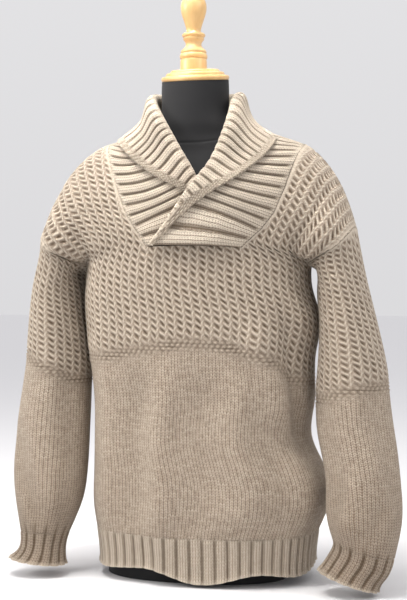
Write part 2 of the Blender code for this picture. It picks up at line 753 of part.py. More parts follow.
def build_cuff(name, rows, sleeve_rows, side):
    """A ribbed cuff that carries on from the sleeve's last ring and flares at its edge."""
    places, heights = rib_columns(CUFF_RIBS)
    angles = places * 2 * math.pi
    rings = sleeve_rings([sleeve_rows[-1]] + list(rows), side, CUFF_BANDS)
    numbers = np.array(sleeve_rows[-1], float)
    numbers[0] *= side
    axis = unit(rings[1][:3] - rings[0][:3])
    rings[0][:3] = numbers[:3] + axis * CUFF_SEAM_GAP
    rings[0][3:] = numbers[3:]
    inner = np.array([ring_points(ring, angles, side, -WALL) for ring in rings])
    outward = np.array([flat_offset(ring, 1.0) for ring in inner])
    thickness = RIB_FURROW + RIB_RISE * heights
    add_wall(name, inner + outward * thickness[None, :, None], inner, "ribbing", closed=True)


def hem_edge(across, front):
    """Height of the hem's lower edge at these shares across a panel."""
    hem = table(HEM_COLUMNS, FRONT_HEM if front else BACK_HEM)
    return np.interp(across, hem["across"], hem["drop_z"])


def build_hem():
    """The ribbed hem, one ring that hangs from both panels."""
    places, heights = rib_columns(HEM_RIBS)
    half = len(places) // 2
    front_share = 2 * places[:half] / places[half] - 1
    back_share = 1 - 2 * (places[half:] - places[half]) / (1 - places[half])
    top = []
    edge = []
    for front, share in ((True, front_share), (False, back_share)):
        row, _ = folded_panel(front, np.array([0.0, 0.02]), share)
        top.append(row[0])
        edge.append(hem_edge(share, front))
    top = np.concatenate(top)
    edge = np.concatenate(edge)
    top[:, 2] = HEM_SEAM_Z - SEAM_GAP
    outward = flat_offset(top, 1.0)
    inner = []
    for run in np.linspace(0, 1, HEM_BANDS + 1):
        row = top - outward * HEM_PULL_IN * math.sin(run * math.pi / 2)
        row[:, 2] = top[:, 2] + (edge - top[:, 2]) * run
        inner.append(row)
    inner = np.array(inner)
    thickness = RIB_FURROW + RIB_RISE * heights
    outer = inner + outward[None] * thickness[None, :, None]
    add_wall("hem_rib", outer, inner, "ribbing", closed=True)


def neck_seam(panels):
    """The neck opening's edge as inner and outer lines, from the left foot round to the right."""
    lines = {"inner": [], "outer": []}
    front_rows = panels[True]["rises"] >= foot_rise(True) - 1e-9
    back_rows = panels[False]["rises"] >= foot_rise(False) - 1e-9
    left, right = SIDE_LANES, SIDE_LANES + MIDDLE_LANES
    back_foot = np.argmax(back_rows)
    for skin in lines:
        front = panels[True][skin]
        back = panels[False][skin]
        lines[skin] = np.concatenate(
            [
                front[front_rows, left],
                back[back_rows, left][::-1][1:],
                back[back_foot, left + 1: right],
                back[back_rows, right][:-1],
                front[front_rows, right][::-1],
            ]
        )
    return lines["inner"], lines["outer"]


def read_line(line, shares, length):
    """Points on a line of straight runs, at shares of the guide length."""
    return np.stack([np.interp(shares, length, line[:, axis]) for axis in range(3)], axis=1)


def build_collar(panels):
    """The shawl collar: a ribbed band from the neck seam to the fold, and a flap folded over it."""
    inner_line, outer_line = neck_seam(panels)
    steps = np.linalg.norm(np.diff(inner_line, axis=0), axis=1)
    length = np.concatenate([[0.0], np.cumsum(steps)])
    length /= length[-1]
    places, heights = rib_columns(COLLAR_RIBS)
    places = np.append(places, 1.0)
    heights = np.append(heights, 0.0)
    inner_seam = read_line(inner_line, places, length)
    outer_seam = read_line(outer_line, places, length)

    sections = table(COLLAR_COLUMNS, COLLAR_SECTIONS)
    read = {
        name: spline(sections["seam"], sections[name], places) for name in COLLAR_COLUMNS if name != "seam"
    }
    root = np.stack([read["root_x"], read["root_y"], read["root_z"]], axis=1)
    fold = np.stack([read["fold_x"], read["fold_y"], read["fold_z"]], axis=1)
    edge = np.stack([read["edge_x"], read["edge_y"], read["edge_z"]], axis=1)
    roll = read["roll"][:, None]
    middle_seam = (inner_seam + outer_seam) / 2
    tangent = unit(np.gradient(middle_seam, axis=0))
    end_face = unit(outer_seam - inner_seam)
    inwards = unit(np.cross(tangent, end_face))
    inwards *= np.sign(np.sum(inwards * (root - middle_seam), axis=1, keepdims=True))
    behind = smooth_step((COLLAR_BACK_SHARE - np.abs(places - 0.5)) / COLLAR_GAP_FADE)
    gap = COLLAR_SEAM_GAP + (COLLAR_BACK_GAP - COLLAR_SEAM_GAP) * behind
    seam = middle_seam + inwards * gap[:, None]
    rise = unit(fold - root)
    away = fold - np.array([NECK_X, NECK_Y, 0])
    away[:, 2] = 0
    away = unit(away)
    away = unit(away - rise * np.sum(away * rise, axis=1, keepdims=True))
    start = fold - rise * roll
    crest = fold + away * roll
    finish = start + away * 2 * roll
    lap = finish + (edge - finish) * FLAP_LAP - away * read["sag"][:, None]
    guide = np.array([seam, root, start, crest, finish, lap, edge])
    path = np.array(COLLAR_PATH)
    middle = spline(COLLAR_GUIDES, guide, path)
    normals = grid_normals(middle)
    face = np.sum(normals[2] * away, axis=-1)
    normals *= 1 if face.mean() > 0 else -1
    normals[0] = end_face
    base_share = (smooth_step((BAND_RIBS_END - path) / RIB_FADE) * smooth_step(path / SEAM_RIB_FADE))[:, None]
    flap_share = smooth_step((path - FLAP_RIBS_START) / RIB_FADE)[:, None]
    plain = RIB_FURROW / 2
    outer_lift = plain + RIB_RISE * heights[None] * base_share
    inner_lift = plain + RIB_RISE * heights[None] * flap_share
    outer = middle + normals * outer_lift[..., None]
    inner = middle - normals * inner_lift[..., None]
    add_wall("collar", outer, inner, "ribbing")


def build_form():
    """The dress form's torso and neck, one smooth closed body with a flat base."""
    form = table(FORM_COLUMNS, FORM_ROWS)
    levels = form["z"]
    rows = np.concatenate(
        [np.linspace(levels[0], 560, FORM_BANDS // 2), np.linspace(600, 705, FORM_BANDS // 2), [levels[-1]]]
    )
    read = {name: spline(levels, form[name], rows) for name in FORM_COLUMNS}
    angles = np.linspace(0, 2 * math.pi, FORM_SIDES, endpoint=False)
    points = []
    for i, z in enumerate(rows):
        cosine, sine = superellipse(angles, read["squareness"][i])
        middle = (read["front"][i] + read["back"][i]) / 2
        half = (read["back"][i] - read["front"][i]) / 2
        ring = np.stack([read["half_width"][i] * cosine, middle + half * sine, np.full(len(angles), z)], axis=1)
        if i == len(rows) - 1:
            ring[:, 2] += (ring[:, 1] - NECK_Y) * math.tan(NECK_CAP_TILT)
        points.append(ring)
    points = np.array(points)
    faces = []
    count = FORM_SIDES
    for i in range(len(rows) - 1):
        for j in range(count):
            k = (j + 1) % count
            faces.append((i * count + j, i * count + k, (i + 1) * count + k, (i + 1) * count + j))
    faces.append(tuple(range(count))[::-1])
    top = (len(rows) - 1) * count
    faces.append(tuple(range(top, top + count)))
    new_object("form_body", points.reshape(-1, 3), faces, "form_cloth")


def turned_piece(name, profile, foot, tilt, foot_slope=0.0):
    """A solid turned on a lathe, tilted forwards.  foot_slope leans its first ring alone."""
    angles = np.linspace(0, 2 * math.pi, ROUND_SIDES, endpoint=False)
    rings = [
        np.stack([radius * np.cos(angles), radius * np.sin(angles), np.full(ROUND_SIDES, height)], axis=1)
        for radius, height in profile
    ]
    rings[0][:, 2] += rings[0][:, 1] * math.tan(foot_slope)
    points = np.concatenate(rings)
    tilted = points.copy()
    tilted[:, 1] = points[:, 1] * math.cos(tilt) - points[:, 2] * math.sin(tilt)
    tilted[:, 2] = points[:, 1] * math.sin(tilt) + points[:, 2] * math.cos(tilt)
    tilted += np.array(foot)
    count = ROUND_SIDES
    faces = []
    for i in range(len(profile) - 1):
        for j in range(count):
            k = (j + 1) % count
            faces.append((i * count + j, i * count + k, (i + 1) * count + k, (i + 1) * count + j))
    faces.append(tuple(range(count))[::-1])
    top = (len(profile) - 1) * count
    faces.append(tuple(range(top, top + count)))
    return new_object(name, tilted, faces, "turned_wood")


def build_wood():
    """The stepped neck cap, tilted forwards, and the upright finial above it."""
    lean = np.array([0, -math.sin(NECK_CAP_TILT), math.cos(NECK_CAP_TILT)])
    cap_foot = np.array([NECK_X, NECK_Y, NECK_TOP_Z]) + lean * SEAM_GAP
    turned_piece("neck_cap", NECK_CAP, cap_foot, NECK_CAP_TILT)
    finial_foot = cap_foot + lean * (NECK_CAP[-1][1] + SEAM_GAP)
    finial_foot[0] += FINIAL_X
    turned_piece("finial", FINIAL, finial_foot, 0.0, foot_slope=NECK_CAP_TILT)


def main():
    for old in list(bpy.data.objects):
        bpy.data.objects.remove(old)
    panels = build_panels_and_sleeves()
    build_hem()
    build_cuff("right_cuff", RIGHT_CUFF, RIGHT_SLEEVE, 1)
    build_cuff("left_cuff", LEFT_CUFF, LEFT_SLEEVE, -1)
    build_collar(panels)
    build_form()
    build_wood()


main()
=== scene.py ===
# %% [markdown]
# # A hand-knit guernsey sweater on a dress form
# The sweater is one garment of eight knitted pieces: front, back, two dropped sleeves, two ribbed
# cuffs, a ribbed hem and a ribbed shawl collar.  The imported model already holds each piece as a
# plain stiff wall.  Here every wall is knitted again, finer, on the same driving sizes, so the
# relief of the stitches sits on exactly the same form.

# %% Load the frame and keep its box
import math

import bpy
import numpy as np
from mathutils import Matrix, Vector


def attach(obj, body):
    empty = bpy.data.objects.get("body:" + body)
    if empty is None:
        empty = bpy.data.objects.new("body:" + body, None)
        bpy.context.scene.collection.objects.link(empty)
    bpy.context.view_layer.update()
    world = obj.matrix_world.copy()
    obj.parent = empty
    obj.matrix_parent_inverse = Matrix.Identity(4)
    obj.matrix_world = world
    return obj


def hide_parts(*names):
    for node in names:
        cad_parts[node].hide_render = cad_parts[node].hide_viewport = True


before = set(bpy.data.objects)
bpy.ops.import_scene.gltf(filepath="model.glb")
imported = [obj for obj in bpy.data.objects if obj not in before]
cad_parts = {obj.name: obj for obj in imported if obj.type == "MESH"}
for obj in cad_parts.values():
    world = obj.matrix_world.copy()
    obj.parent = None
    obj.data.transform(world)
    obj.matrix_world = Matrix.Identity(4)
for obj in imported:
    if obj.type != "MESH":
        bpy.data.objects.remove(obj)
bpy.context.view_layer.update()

# %% [markdown]
# ## Nodes written as sums
# Sky, floor and every finish are node trees.  Each is a small sum of shapes and colours, so one
# class wraps a socket and lets Python's own signs add Math nodes, and one method adds any other
# node.  Colours go through Mix nodes, because a Math node would turn them grey.

# %% Sockets that can be added and multiplied
MIX_SHARE, MIX_FIRST, MIX_SECOND, MIX_RESULT = 0, 6, 7, 2


class Value:
    """One socket of a node tree; arithmetic on it adds Math nodes."""

    def __init__(self, nodes, socket):
        self.nodes = nodes
        self.socket = socket

    def work(self, operation, first, second=0.0):
        return self.nodes.node("ShaderNodeMath", {"operation": operation}, {0: first, 1: second})

    __add__ = __radd__ = lambda self, other: self.work("ADD", self, other)
    __mul__ = __rmul__ = lambda self, other: self.work("MULTIPLY", self, other)
    __sub__ = lambda self, other: self.work("SUBTRACT", self, other)
    __rsub__ = lambda self, other: self.work("SUBTRACT", other, self)
    __truediv__ = lambda self, other: self.work("DIVIDE", self, other)
    __rtruediv__ = lambda self, other: self.work("DIVIDE", other, self)
    __pow__ = lambda self, other: self.work("POWER", self, other)
    __rpow__ = lambda self, other: self.work("POWER", other, self)

    def fract(self):
        """How far into its own stitch or repeat a place is."""
        return self.work("FRACT", self)

    def floor(self):
        """Which stitch or repeat a place is in."""
        return self.work("FLOOR", self)

    def sine(self):
        return self.work("SINE", self)

    def size(self):
        """The value without its sign."""
        return self.work("ABSOLUTE", self)

    def clamped(self):
        """The value kept between 0 and 1."""
        return self.nodes.node("ShaderNodeClamp", (), {0: self})


class Nodes:
    """A node tree, and the one method that adds nodes to it."""

    def __init__(self, tree):
        self.tree = tree

    def feed(self, socket, value):
        """Link a Value to a socket, or set a number or colour on it."""
        if isinstance(value, Value):
            self.tree.links.new(value.socket, socket)
        else:
            socket.default_value = value

    def node(self, kind, settings=(), inputs=(), output=0):
        """A node of that kind, with its settings and then its sockets; returns one output."""
        made = self.tree.nodes.new(kind)
        for key, value in dict(settings).items():
            setattr(made, key, value)
        for key, value in dict(inputs).items():
            self.feed(made.inputs[key], value)
        return Value(self, made.outputs[output])

    def mix(self, share, first, second):
        """Two colours mixed by a share."""
        inputs = {MIX_SHARE: share, MIX_FIRST: first, MIX_SECOND: second}
        return self.node("ShaderNodeMix", {"data_type": "RGBA"}, inputs, MIX_RESULT)

    def noise(self, place, scale, detail=2.0, rough=0.5):
        """Noise from 0 to 1; scale says how many lumps there are to a metre."""
        inputs = {"Vector": place, "Scale": scale, "Detail": detail, "Roughness": rough}
        return self.node("ShaderNodeTexNoise", (), inputs, "Fac")


class Finish(Nodes):
    """A material's nodes, with its shader's sockets at hand."""

    def __init__(self, name, roughness):
        self.material = bpy.data.materials.new(name)
        self.material.use_nodes = True
        super().__init__(self.material.node_tree)
        self.shader = self.tree.nodes["Principled BSDF"]
        self.set("Roughness", roughness)

    def set(self, key, value):
        self.feed(self.shader.inputs[key], value)

    def mark(self, name):
        """A mark that the mesh carries at each of its points."""
        return self.node("ShaderNodeAttribute", {"attribute_name": name}, output="Fac")

    def bump(self, height, strength=1.0):
        """Small relief of a height in metres."""
        inputs = {"Strength": strength, "Distance": 1.0, "Height": height}
        self.set("Normal", self.node("ShaderNodeBump", (), inputs, "Normal"))


print("a mix node's colours are its sockets", MIX_FIRST, "and", MIX_SECOND)

# %% [markdown]
# ## Studio
# The sweater stands on a white floor in soft light: a broad lamp overhead, a faint narrow one on
# the collar, and more light from the left than from the right.  A wall would give the seamless
# look from the front alone.  A floor that runs far back under a pale sky gives it from all round.
# The camera is level, 1.9 m away, and 14 degrees to one side.

# %% Lamps
WARM_WHITE = (1.0, 0.98, 0.95)
EVERY_WAY = 180
LAMPS = (
    ("overhead_lamp", (-0.35, -0.32, 2.2), (0, 0, 0.55), 1.0, 31, (1.0, 0.98, 0.94), EVERY_WAY),
    ("top_lamp", (-0.35, -0.7, 2.2), (-0.05, -0.02, 0.70), 0.4, 0.75, WARM_WHITE, 24),
    ("left_lamp", (-1.9, -0.9, 1.3), (0, 0, 0.6), 0.9, 24, WARM_WHITE, EVERY_WAY),
    ("right_lamp", (1.7, -0.6, 1.5), (0, 0, 0.6), 0.9, 8, WARM_WHITE, EVERY_WAY),
)
bpy.context.scene.view_settings.view_transform = "Standard"


def placed(name, data):
    """A new object in the scene that shows a mesh, lamp or camera."""
    holder = bpy.data.objects.new(name, data)
    bpy.context.scene.collection.objects.link(holder)
    return holder


for name, place, target, width, watts, colour, beam in LAMPS:
    lamp = bpy.data.lights.new(name, "AREA")
    lamp.shape = "SQUARE"
    lamp.size, lamp.energy, lamp.color, lamp.spread = width, watts, colour, math.radians(beam)
    holder = placed(name, lamp)
    holder.location = place
    holder.rotation_euler = (Vector(target) - Vector(place)).to_track_quat("-Z", "Y").to_euler()
print("lamps", len(bpy.data.lights))

# %% Sky and floor
SKY_LOW = (0.715, 0.71, 0.725, 1)
SKY_HIGH = (0.93, 0.925, 0.94, 1)
FLOOR_WHITE = (0.765, 0.76, 0.775, 1)
FLOOR_REACH = 30.0

sky = bpy.data.worlds.new("pale_sky")
sky.use_nodes = True
sky_nodes = Nodes(sky.node_tree)
way = sky_nodes.node("ShaderNodeTexCoord", output="Generated")
up = sky_nodes.node("ShaderNodeSeparateXYZ", (), {0: way}, "Z")
sky_nodes.feed(sky.node_tree.nodes["Background"].inputs["Color"], sky_nodes.mix(up, SKY_LOW, SKY_HIGH))
bpy.context.scene.world = sky

floor_mesh = bpy.data.meshes.new("floor")
corners = [(x * FLOOR_REACH, y * FLOOR_REACH, 0) for x, y in ((-1, -1), (1, -1), (1, 1), (-1, 1))]
floor_mesh.from_pydata(corners, [], [(0, 1, 2, 3)])
floor_paint = Finish("floor_paint", 0.9)
floor_paint.set("Base Color", FLOOR_WHITE)
floor_mesh.materials.append(floor_paint.material)
placed("floor", floor_mesh)
print("floor", 2 * FLOOR_REACH, "m across")

# %% Camera
CAMERA_DISTANCE = 1.9
CAMERA_HEIGHT = 0.418
CAMERA_TURN = math.radians(14)
CAMERA_LENS = 73.55
SENSOR_WIDTH = 36
FRAMING_SHIFT = 3.5 / 600

camera_data = bpy.data.cameras.new("camera")
camera_data.lens = CAMERA_LENS
camera_data.sensor_width = SENSOR_WIDTH
camera_data.shift_x = FRAMING_SHIFT
camera = placed("camera", camera_data)
camera.location = (
    CAMERA_DISTANCE * math.sin(CAMERA_TURN), -CAMERA_DISTANCE * math.cos(CAMERA_TURN), CAMERA_HEIGHT,
)
camera.rotation_euler = (math.pi / 2, 0, CAMERA_TURN)
bpy.context.scene.camera = camera
print("camera at", tuple(round(c, 3) for c in camera.location))

# %% [markdown]
# ## Smooth surfaces from short tables
# A worn garment is a smooth surface with a few large folds.  It could be sculpted by hand, but no
# size can be read off a sculpt or changed in it.  Here a short table of sections says where the
# surface goes, and a natural cubic spline runs through them.  Tables are in millimetres.

# %% Tables and splines
def table(columns, rows):
    """A table as a dictionary from a column's name to its numbers."""
    numbers = np.array(rows, float)
    return {name: numbers[:, i] for i, name in enumerate(columns)}


def spline(knots, values, at):
    """The natural cubic spline through values at knots, read at the places in at."""
    knots = np.asarray(knots, float)
    values = np.asarray(values, float)
    at = np.asarray(at, float)
    count = len(knots)
    gaps = np.diff(knots)
    matrix = np.eye(count)
    shape = (count,) + values.shape[1:]
    right = np.zeros(shape)
    for i in range(1, count - 1):
        matrix[i, i - 1: i + 2] = gaps[i - 1], 2 * (gaps[i - 1] + gaps[i]), gaps[i]
        right[i] = 6 * ((values[i + 1] - values[i]) / gaps[i] - (values[i] - values[i - 1]) / gaps[i - 1])
    bend = np.linalg.solve(matrix, right.reshape(count, -1)).reshape(shape)
    span = np.clip(np.searchsorted(knots, at) - 1, 0, count - 2)
    extra = (1,) * (values.ndim - 1)
    gap = gaps[span].reshape(at.shape + extra)
    before = (at - knots[span]).reshape(at.shape + extra)
    after = gap - before
    return (
        bend[span] * after**3 / (6 * gap)
        + bend[span + 1] * before**3 / (6 * gap)
        + (values[span] / gap - bend[span] * gap / 6) * after
        + (values[span + 1] / gap - bend[span + 1] * gap / 6) * before
    )


def unit(vectors):
    """The vectors, each made one long."""
    return vectors / np.maximum(np.linalg.norm(vectors, axis=-1, keepdims=True), 1e-9)


def smooth_step(value):
    """0 below 0, 1 above 1, and a smooth rise between."""
    value = np.clip(value, 0.0, 1.0)
    return value * value * (3 - 2 * value)


def bell(distance, width):
    """1 at no distance, dying away over about the width."""
    return np.exp(-((distance / width) ** 2))


def run_lengths(points):
    """Length along a line or, for a grid, down each of its columns."""
    steps = np.linalg.norm(np.diff(points, axis=0), axis=-1)
    return np.concatenate([np.zeros((1,) + steps.shape[1:]), np.cumsum(steps, axis=0)])


def signed_power(value, power):
    """A power that keeps the value's sign."""
    return np.sign(value) * np.abs(value) ** power


def superellipse(angles, squareness):
    """Cosine and sine, squared off as a body's section is."""
    return tuple(signed_power(wave(angles), 2.0 / squareness) for wave in (np.cos, np.sin))


def grid_normals(points, closed=False):
    """Unit normals of a grid of points, rows by columns."""
    if closed:
        wrapped = np.concatenate([points[:, -1:], points, points[:, :1]], axis=1)
        across = (wrapped[:, 2:] - wrapped[:, :-2]) / 2
    else:
        across = np.gradient(points, axis=1)
    return unit(np.cross(across, np.gradient(points, axis=0)))


straight = (0, 1, 2, 3)
print("spline half-way along a straight line, should be 1.5:", spline(straight, straight, np.array([1.5])))

# %% [markdown]
# ## Body of the garment
# Front and back are one piece each on the real sweater, knitted upwards from the hem, with a
# textured yoke.  They could be modelled as a subdivided box, but a net of spline sections keeps
# the dropped shoulder, the armhole and the neck edge where the maker put them.  Each row of the
# net has nine points, from one side to the other.

# %% Sections below the underarm
SIDE_Y = -10.0
SQUARENESS = 2.4
HEM_SEAM_Z = 72.0
BODY_COLUMNS = ("z", "left", "right", "front", "back", "droop")
BODY_ROWS = (
    (72, -153, 182, -124, 106, 0),
    (105, -158, 196, -129, 112, 0),
    (150, -158, 197, -128, 113, 0),
    (210, -157, 171, -124, 109, 0),
    (270, -158, 176, -121, 105, 0),
    (330, -165, 175, -120, 103, 1),
    (395, -171, 183, -119, 102, 5),
    (440, -172, 171, -118, 101, 9),
)
DROOP_SHARES = (0.0, 0.85, 1.0, 0.45, 0.0, 0.45, 1.0, 0.85, 0.0)
NET_ANGLES = np.radians((0, 10, 28, 55, 90, 125, 152, 170, 180))


def body_net_row(z, left, right, depth_y, droop):
    """Nine points of one half ring of the body, from the left side seam to the right one."""
    cosine, sine = superellipse(NET_ANGLES, SQUARENESS)
    height = z - droop * np.array(DROOP_SHARES)
    x = (left + right) / 2 - (right - left) / 2 * cosine
    return np.stack([x, SIDE_Y + (depth_y - SIDE_Y) * sine, height], axis=1)


print("body rows", len(BODY_ROWS))

# %% Armhole
ARMHOLE_X = 203.5
ARMHOLE_Z = 500.0
ARMHOLE_HALF_HEIGHT = 43.0
ARMHOLE_HALF_DEPTH = 72.0
ARMHOLE_LEAN = math.radians(36.5)
ARMHOLE_BOW_OUT = 12.0
ARMHOLE_BOW_DOWN = 7.0
UNDERARM_SQUARENESS = 1.4


def armhole_point(share, front):
    """A point of the right armhole ring, from the underarm (share 0) to the shoulder (1)."""
    share = np.asarray(share, float)
    angle = math.pi * np.clip(share, 0.0, 1.0)
    power = np.where(share < 0.5, 2 / UNDERARM_SQUARENESS, 1.0)
    up = -signed_power(np.cos(angle), power) * ARMHOLE_HALF_HEIGHT
    out = np.abs(np.sin(angle)) ** power * ARMHOLE_HALF_DEPTH
    bow = np.sin(angle) ** 2
    return np.stack(
        [
            ARMHOLE_X + up * math.cos(ARMHOLE_LEAN) + bow * ARMHOLE_BOW_OUT,
            SIDE_Y + (-out if front else out),
            ARMHOLE_Z + up * math.sin(ARMHOLE_LEAN) - bow * ARMHOLE_BOW_DOWN,
        ],
        axis=-1,
    )


print("underarm at", armhole_point(0.0, True).round(1), "shoulder at", armhole_point(1.0, True).round(1))

# %% Chest, yoke and shoulder
CHEST_FRONT_Y = -118.0
CHEST_BACK_Y = 100.0
UNDERARM_DROOP = 12.0
YOKE_COLUMNS = (
    "share", "mid_y", "mid_z", "chest_x", "chest_y", "chest_z",
    "corner_x", "corner_y", "corner_z", "arm_x", "arm_y", "arm_z",
)
FRONT_YOKE = (
    (0.25, -118, 508, 104, -105, 505, 157, -81, 492, 176, -68, 484),
    (0.50, -116, 548, 104, -104, 548, 162, -88, 537, 195, -90, 513),
    (0.75, -101, 602, 102, -92, 603, 162, -77, 592, 204, -76, 555),
    (0.90, -66, 655, 102, -58, 652, 166, -47, 632, 212, -43, 581),
    (1.00, 2, 690, 100, 4, 671, 166, 3, 649, 215, -3, 592),
)
BACK_YOKE = (
    (0.25, 100, 515, 104, 90, 511, 158, 62, 496, 176, 48, 485),
    (0.50, 98, 565, 104, 88, 562, 162, 68, 544, 195, 68, 515),
    (0.75, 88, 622, 102, 78, 618, 164, 60, 599, 205, 55, 559),
    (0.90, 60, 662, 102, 50, 656, 167, 37, 634, 212, 28, 583),
    (1.00, 2, 690, 100, 4, 671, 166, 3, 649, 215, -3, 592),
)


def panel_net(front):
    """Control points of a panel and the rise of each row: 1 at the underarm, 2 at the shoulder."""
    body = table(BODY_COLUMNS, BODY_ROWS)
    underarm = armhole_point(0.0, front)
    depth = body["front" if front else "back"]
    rows = zip(body["z"], body["left"], body["right"], depth, body["droop"])
    net = [body_net_row(*row) for row in rows]
    rises = list((body["z"] - HEM_SEAM_Z) / (underarm[2] - HEM_SEAM_Z))
    chest = CHEST_FRONT_Y if front else CHEST_BACK_Y
    net.append(body_net_row(underarm[2], -underarm[0], underarm[0], chest, UNDERARM_DROOP))
    rises.append(1.0)
    yoke = table(YOKE_COLUMNS, FRONT_YOKE if front else BACK_YOKE)
    for i, share in enumerate(yoke["share"]):
        half = [[yoke[f"{name}_{axis}"][i] for axis in "xyz"] for name in ("chest", "corner", "arm")]
        right = np.array(half + [armhole_point(share, front)])
        middle = np.array([[0.0, yoke["mid_y"][i], yoke["mid_z"][i]]])
        net.append(np.concatenate([right[::-1] * (-1, 1, 1), middle, right]))
        rises.append(1.0 + share)
    return np.array(rises), np.array(net)


print("rows of the front's net", len(panel_net(True)[0]))

# %% The panels as surfaces
LINE_POINTS = 641


def panel_points(front, rises, shares):
    """Points of a panel's plain surface at these rises and shares of each row's length."""
    knots, net = panel_net(front)
    lanes = spline(knots, net, rises)
    below = rises < 1.0
    sides = knots <= 1.0
    edge = armhole_point(rises[~below] - 1.0, front)
    for lane, side in ((0, -1), (-1, 1)):
        lanes[below, lane] = spline(knots[sides], net[sides, lane], rises[below])
        lanes[~below, lane] = edge * (side, 1, 1)
    places = np.linspace(0, len(NET_ANGLES) - 1, LINE_POINTS)
    lines = spline(np.arange(len(NET_ANGLES)), lanes.transpose(1, 0, 2), places).transpose(1, 0, 2)
    result = np.empty((len(rises), shares.shape[-1], 3))
    for i, line in enumerate(lines):
        length = run_lengths(line)
        wanted = shares if shares.ndim == 1 else shares[i]
        for axis in range(3):
            result[i, :, axis] = np.interp(wanted, 2 * length / length[-1] - 1, line[:, axis])
    return result


print("front's shoulder corner", panel_points(True, np.array([2.0]), np.array([1.0])).round(1).ravel())

# %% [markdown]
# ## Neck opening
# The front opens in a deep V with a short flat foot, and the back is cut only a little lower than
# the shoulders.  Holes could be cut with a boolean, but then the stitches would be cut through.
# Here the columns of the knitting bend round the opening, as picked-up stitches do.

# %% The opening's edges
NECK_COLUMNS = ("z", "left", "right")
FRONT_NECK = (
    (480, -42, 78), (497, -52, 91), (520, -67, 116), (544, -84, 134),
    (583, -101, 149), (625, -118, 160), (660, -134, 165), (700, -142, 167),
)
FRONT_NECK_FOOT_Z = 497.0
BACK_NECK_FOOT_Z = 657.0
BACK_NECK_FOOT = (-106.0, 121.0)


def foot_rise(front):
    """The rise of the row at the foot of the neck opening."""
    knots, net = panel_net(front)
    rises = np.linspace(1, 2, 401)
    middle = spline(knots, net[:, 4, 2], rises)
    return np.interp(FRONT_NECK_FOOT_Z if front else BACK_NECK_FOOT_Z, middle, rises)


def front_neck_shares(rises):
    """Where the neck opening's two edges lie on each row of the front."""
    neck = table(NECK_COLUMNS, FRONT_NECK)
    fine = np.linspace(-1, 1, 401)
    found = []
    for row in panel_points(True, rises, fine):
        edges = [np.interp(row[:, 2], neck["z"], neck[side]) for side in ("left", "right")]
        found.append([np.interp(0, row[:, 0] - edge, fine) for edge in edges])
    return np.array(found)


def back_neck_shares(rises):
    """The same on the back: from the foot's corners to the front's edges at the shoulder seam."""
    foot = foot_rise(False)
    fine = np.linspace(-1, 1, 401)
    row = panel_points(False, np.array([foot]), fine)[0]
    corners = np.interp(BACK_NECK_FOOT, row[:, 0], fine)
    run = np.clip((rises - foot) / (2.0 - foot), 0, 1)[:, None]
    return corners + (front_neck_shares(np.array([2.0])) - corners) * run


print("neck foot at rise", round(float(foot_rise(True)), 3), round(float(foot_rise(False)), 3))

# %% [markdown]
# ## Folds
# Heavy wool hangs in a few soft folds, from the chest and underarms down to the hem.  A cloth
# simulation would put them anywhere.  A table puts each where it hangs: its top, its foot, its
# width and how far it stands out.

# %% Folds of front and back
FOLD_START = 0.3
FOLD_END = 1.15
LEVEL_FOLDS_HEIGHT = 100.0
SHOULDER_FOLD_REACH = 0.3
FRONT_FOLDS = (
    (-0.13, 345, -0.20, 75, 0.075, 7.5),
    (-0.33, 330, -0.38, 80, 0.12, -10.0),
    (-0.58, 470, -0.60, 80, 0.08, 4.0),
    (0.12, 330, 0.04, 90, 0.12, -7.0),
    (0.34, 330, 0.33, 85, 0.10, 7.0),
    (0.40, 400, 0.62, 235, 0.08, 9.5),
    (0.58, 430, 0.80, 210, 0.08, -10.0),
    (0.66, 210, 0.72, 90, 0.10, 6.0),
    (0.52, 215, 0.55, 85, 0.07, -4.0),
    (-0.77, 625, -0.80, 480, 0.06, -6.0),
    (0.76, 625, 0.80, 480, 0.06, -6.0),
)
BACK_FOLDS = (
    (-0.50, 480, -0.40, 85, 0.09, 8.5),
    (-0.22, 400, -0.16, 80, 0.10, -7.5),
    (0.08, 430, 0.10, 85, 0.08, 8.0),
    (0.34, 400, 0.30, 80, 0.10, -7.5),
    (0.58, 480, 0.48, 85, 0.09, 8.5),
    (0.80, 430, 0.72, 160, 0.07, -8.0),
    (-0.80, 430, -0.74, 160, 0.07, -7.0),
)


def fold_rise(folds, across, z):
    """How far the folds move the cloth outwards at these places."""
    total = np.zeros_like(z)
    for top_across, top_z, foot_across, foot_z, width, rise in folds:
        run = (top_z - z) / (top_z - foot_z)
        centre = top_across + (foot_across - top_across) * run
        ends = smooth_step(run / FOLD_START) * smooth_step((FOLD_END - run) / FOLD_START)
        total += rise * ends * bell(across - centre, width)
    return total


def folded_panel(front, rises, shares):
    """A panel's inner surface with its folds, and its outward normals."""
    plain = panel_points(front, rises, shares)
    facing = 1 if front else -1
    outward = grid_normals(plain) * facing
    outward[..., 2] *= smooth_step((plain[..., 2] - HEM_SEAM_Z) / LEVEL_FOLDS_HEIGHT)
    below_shoulder = smooth_step((2.0 - rises) / SHOULDER_FOLD_REACH)[:, None]
    across = np.broadcast_to(shares, plain.shape[:2])
    rise = fold_rise(FRONT_FOLDS if front else BACK_FOLDS, across, plain[..., 2]) * below_shoulder
    moved = plain + unit(outward) * rise[..., None]
    return moved, grid_normals(moved) * facing


print("folds", len(FRONT_FOLDS), "in front", len(BACK_FOLDS), "behind")

# %% [markdown]
# ## Sleeves
# A dropped sleeve is a knitted tube, picked up round the armhole and worked down to the cuff.  It
# could be a bevelled curve, but a curve's section can't flatten on its way down.  Here rings with
# a centre, two half sizes and a lean say where it hangs, and each column of points follows a
# spline down through them.

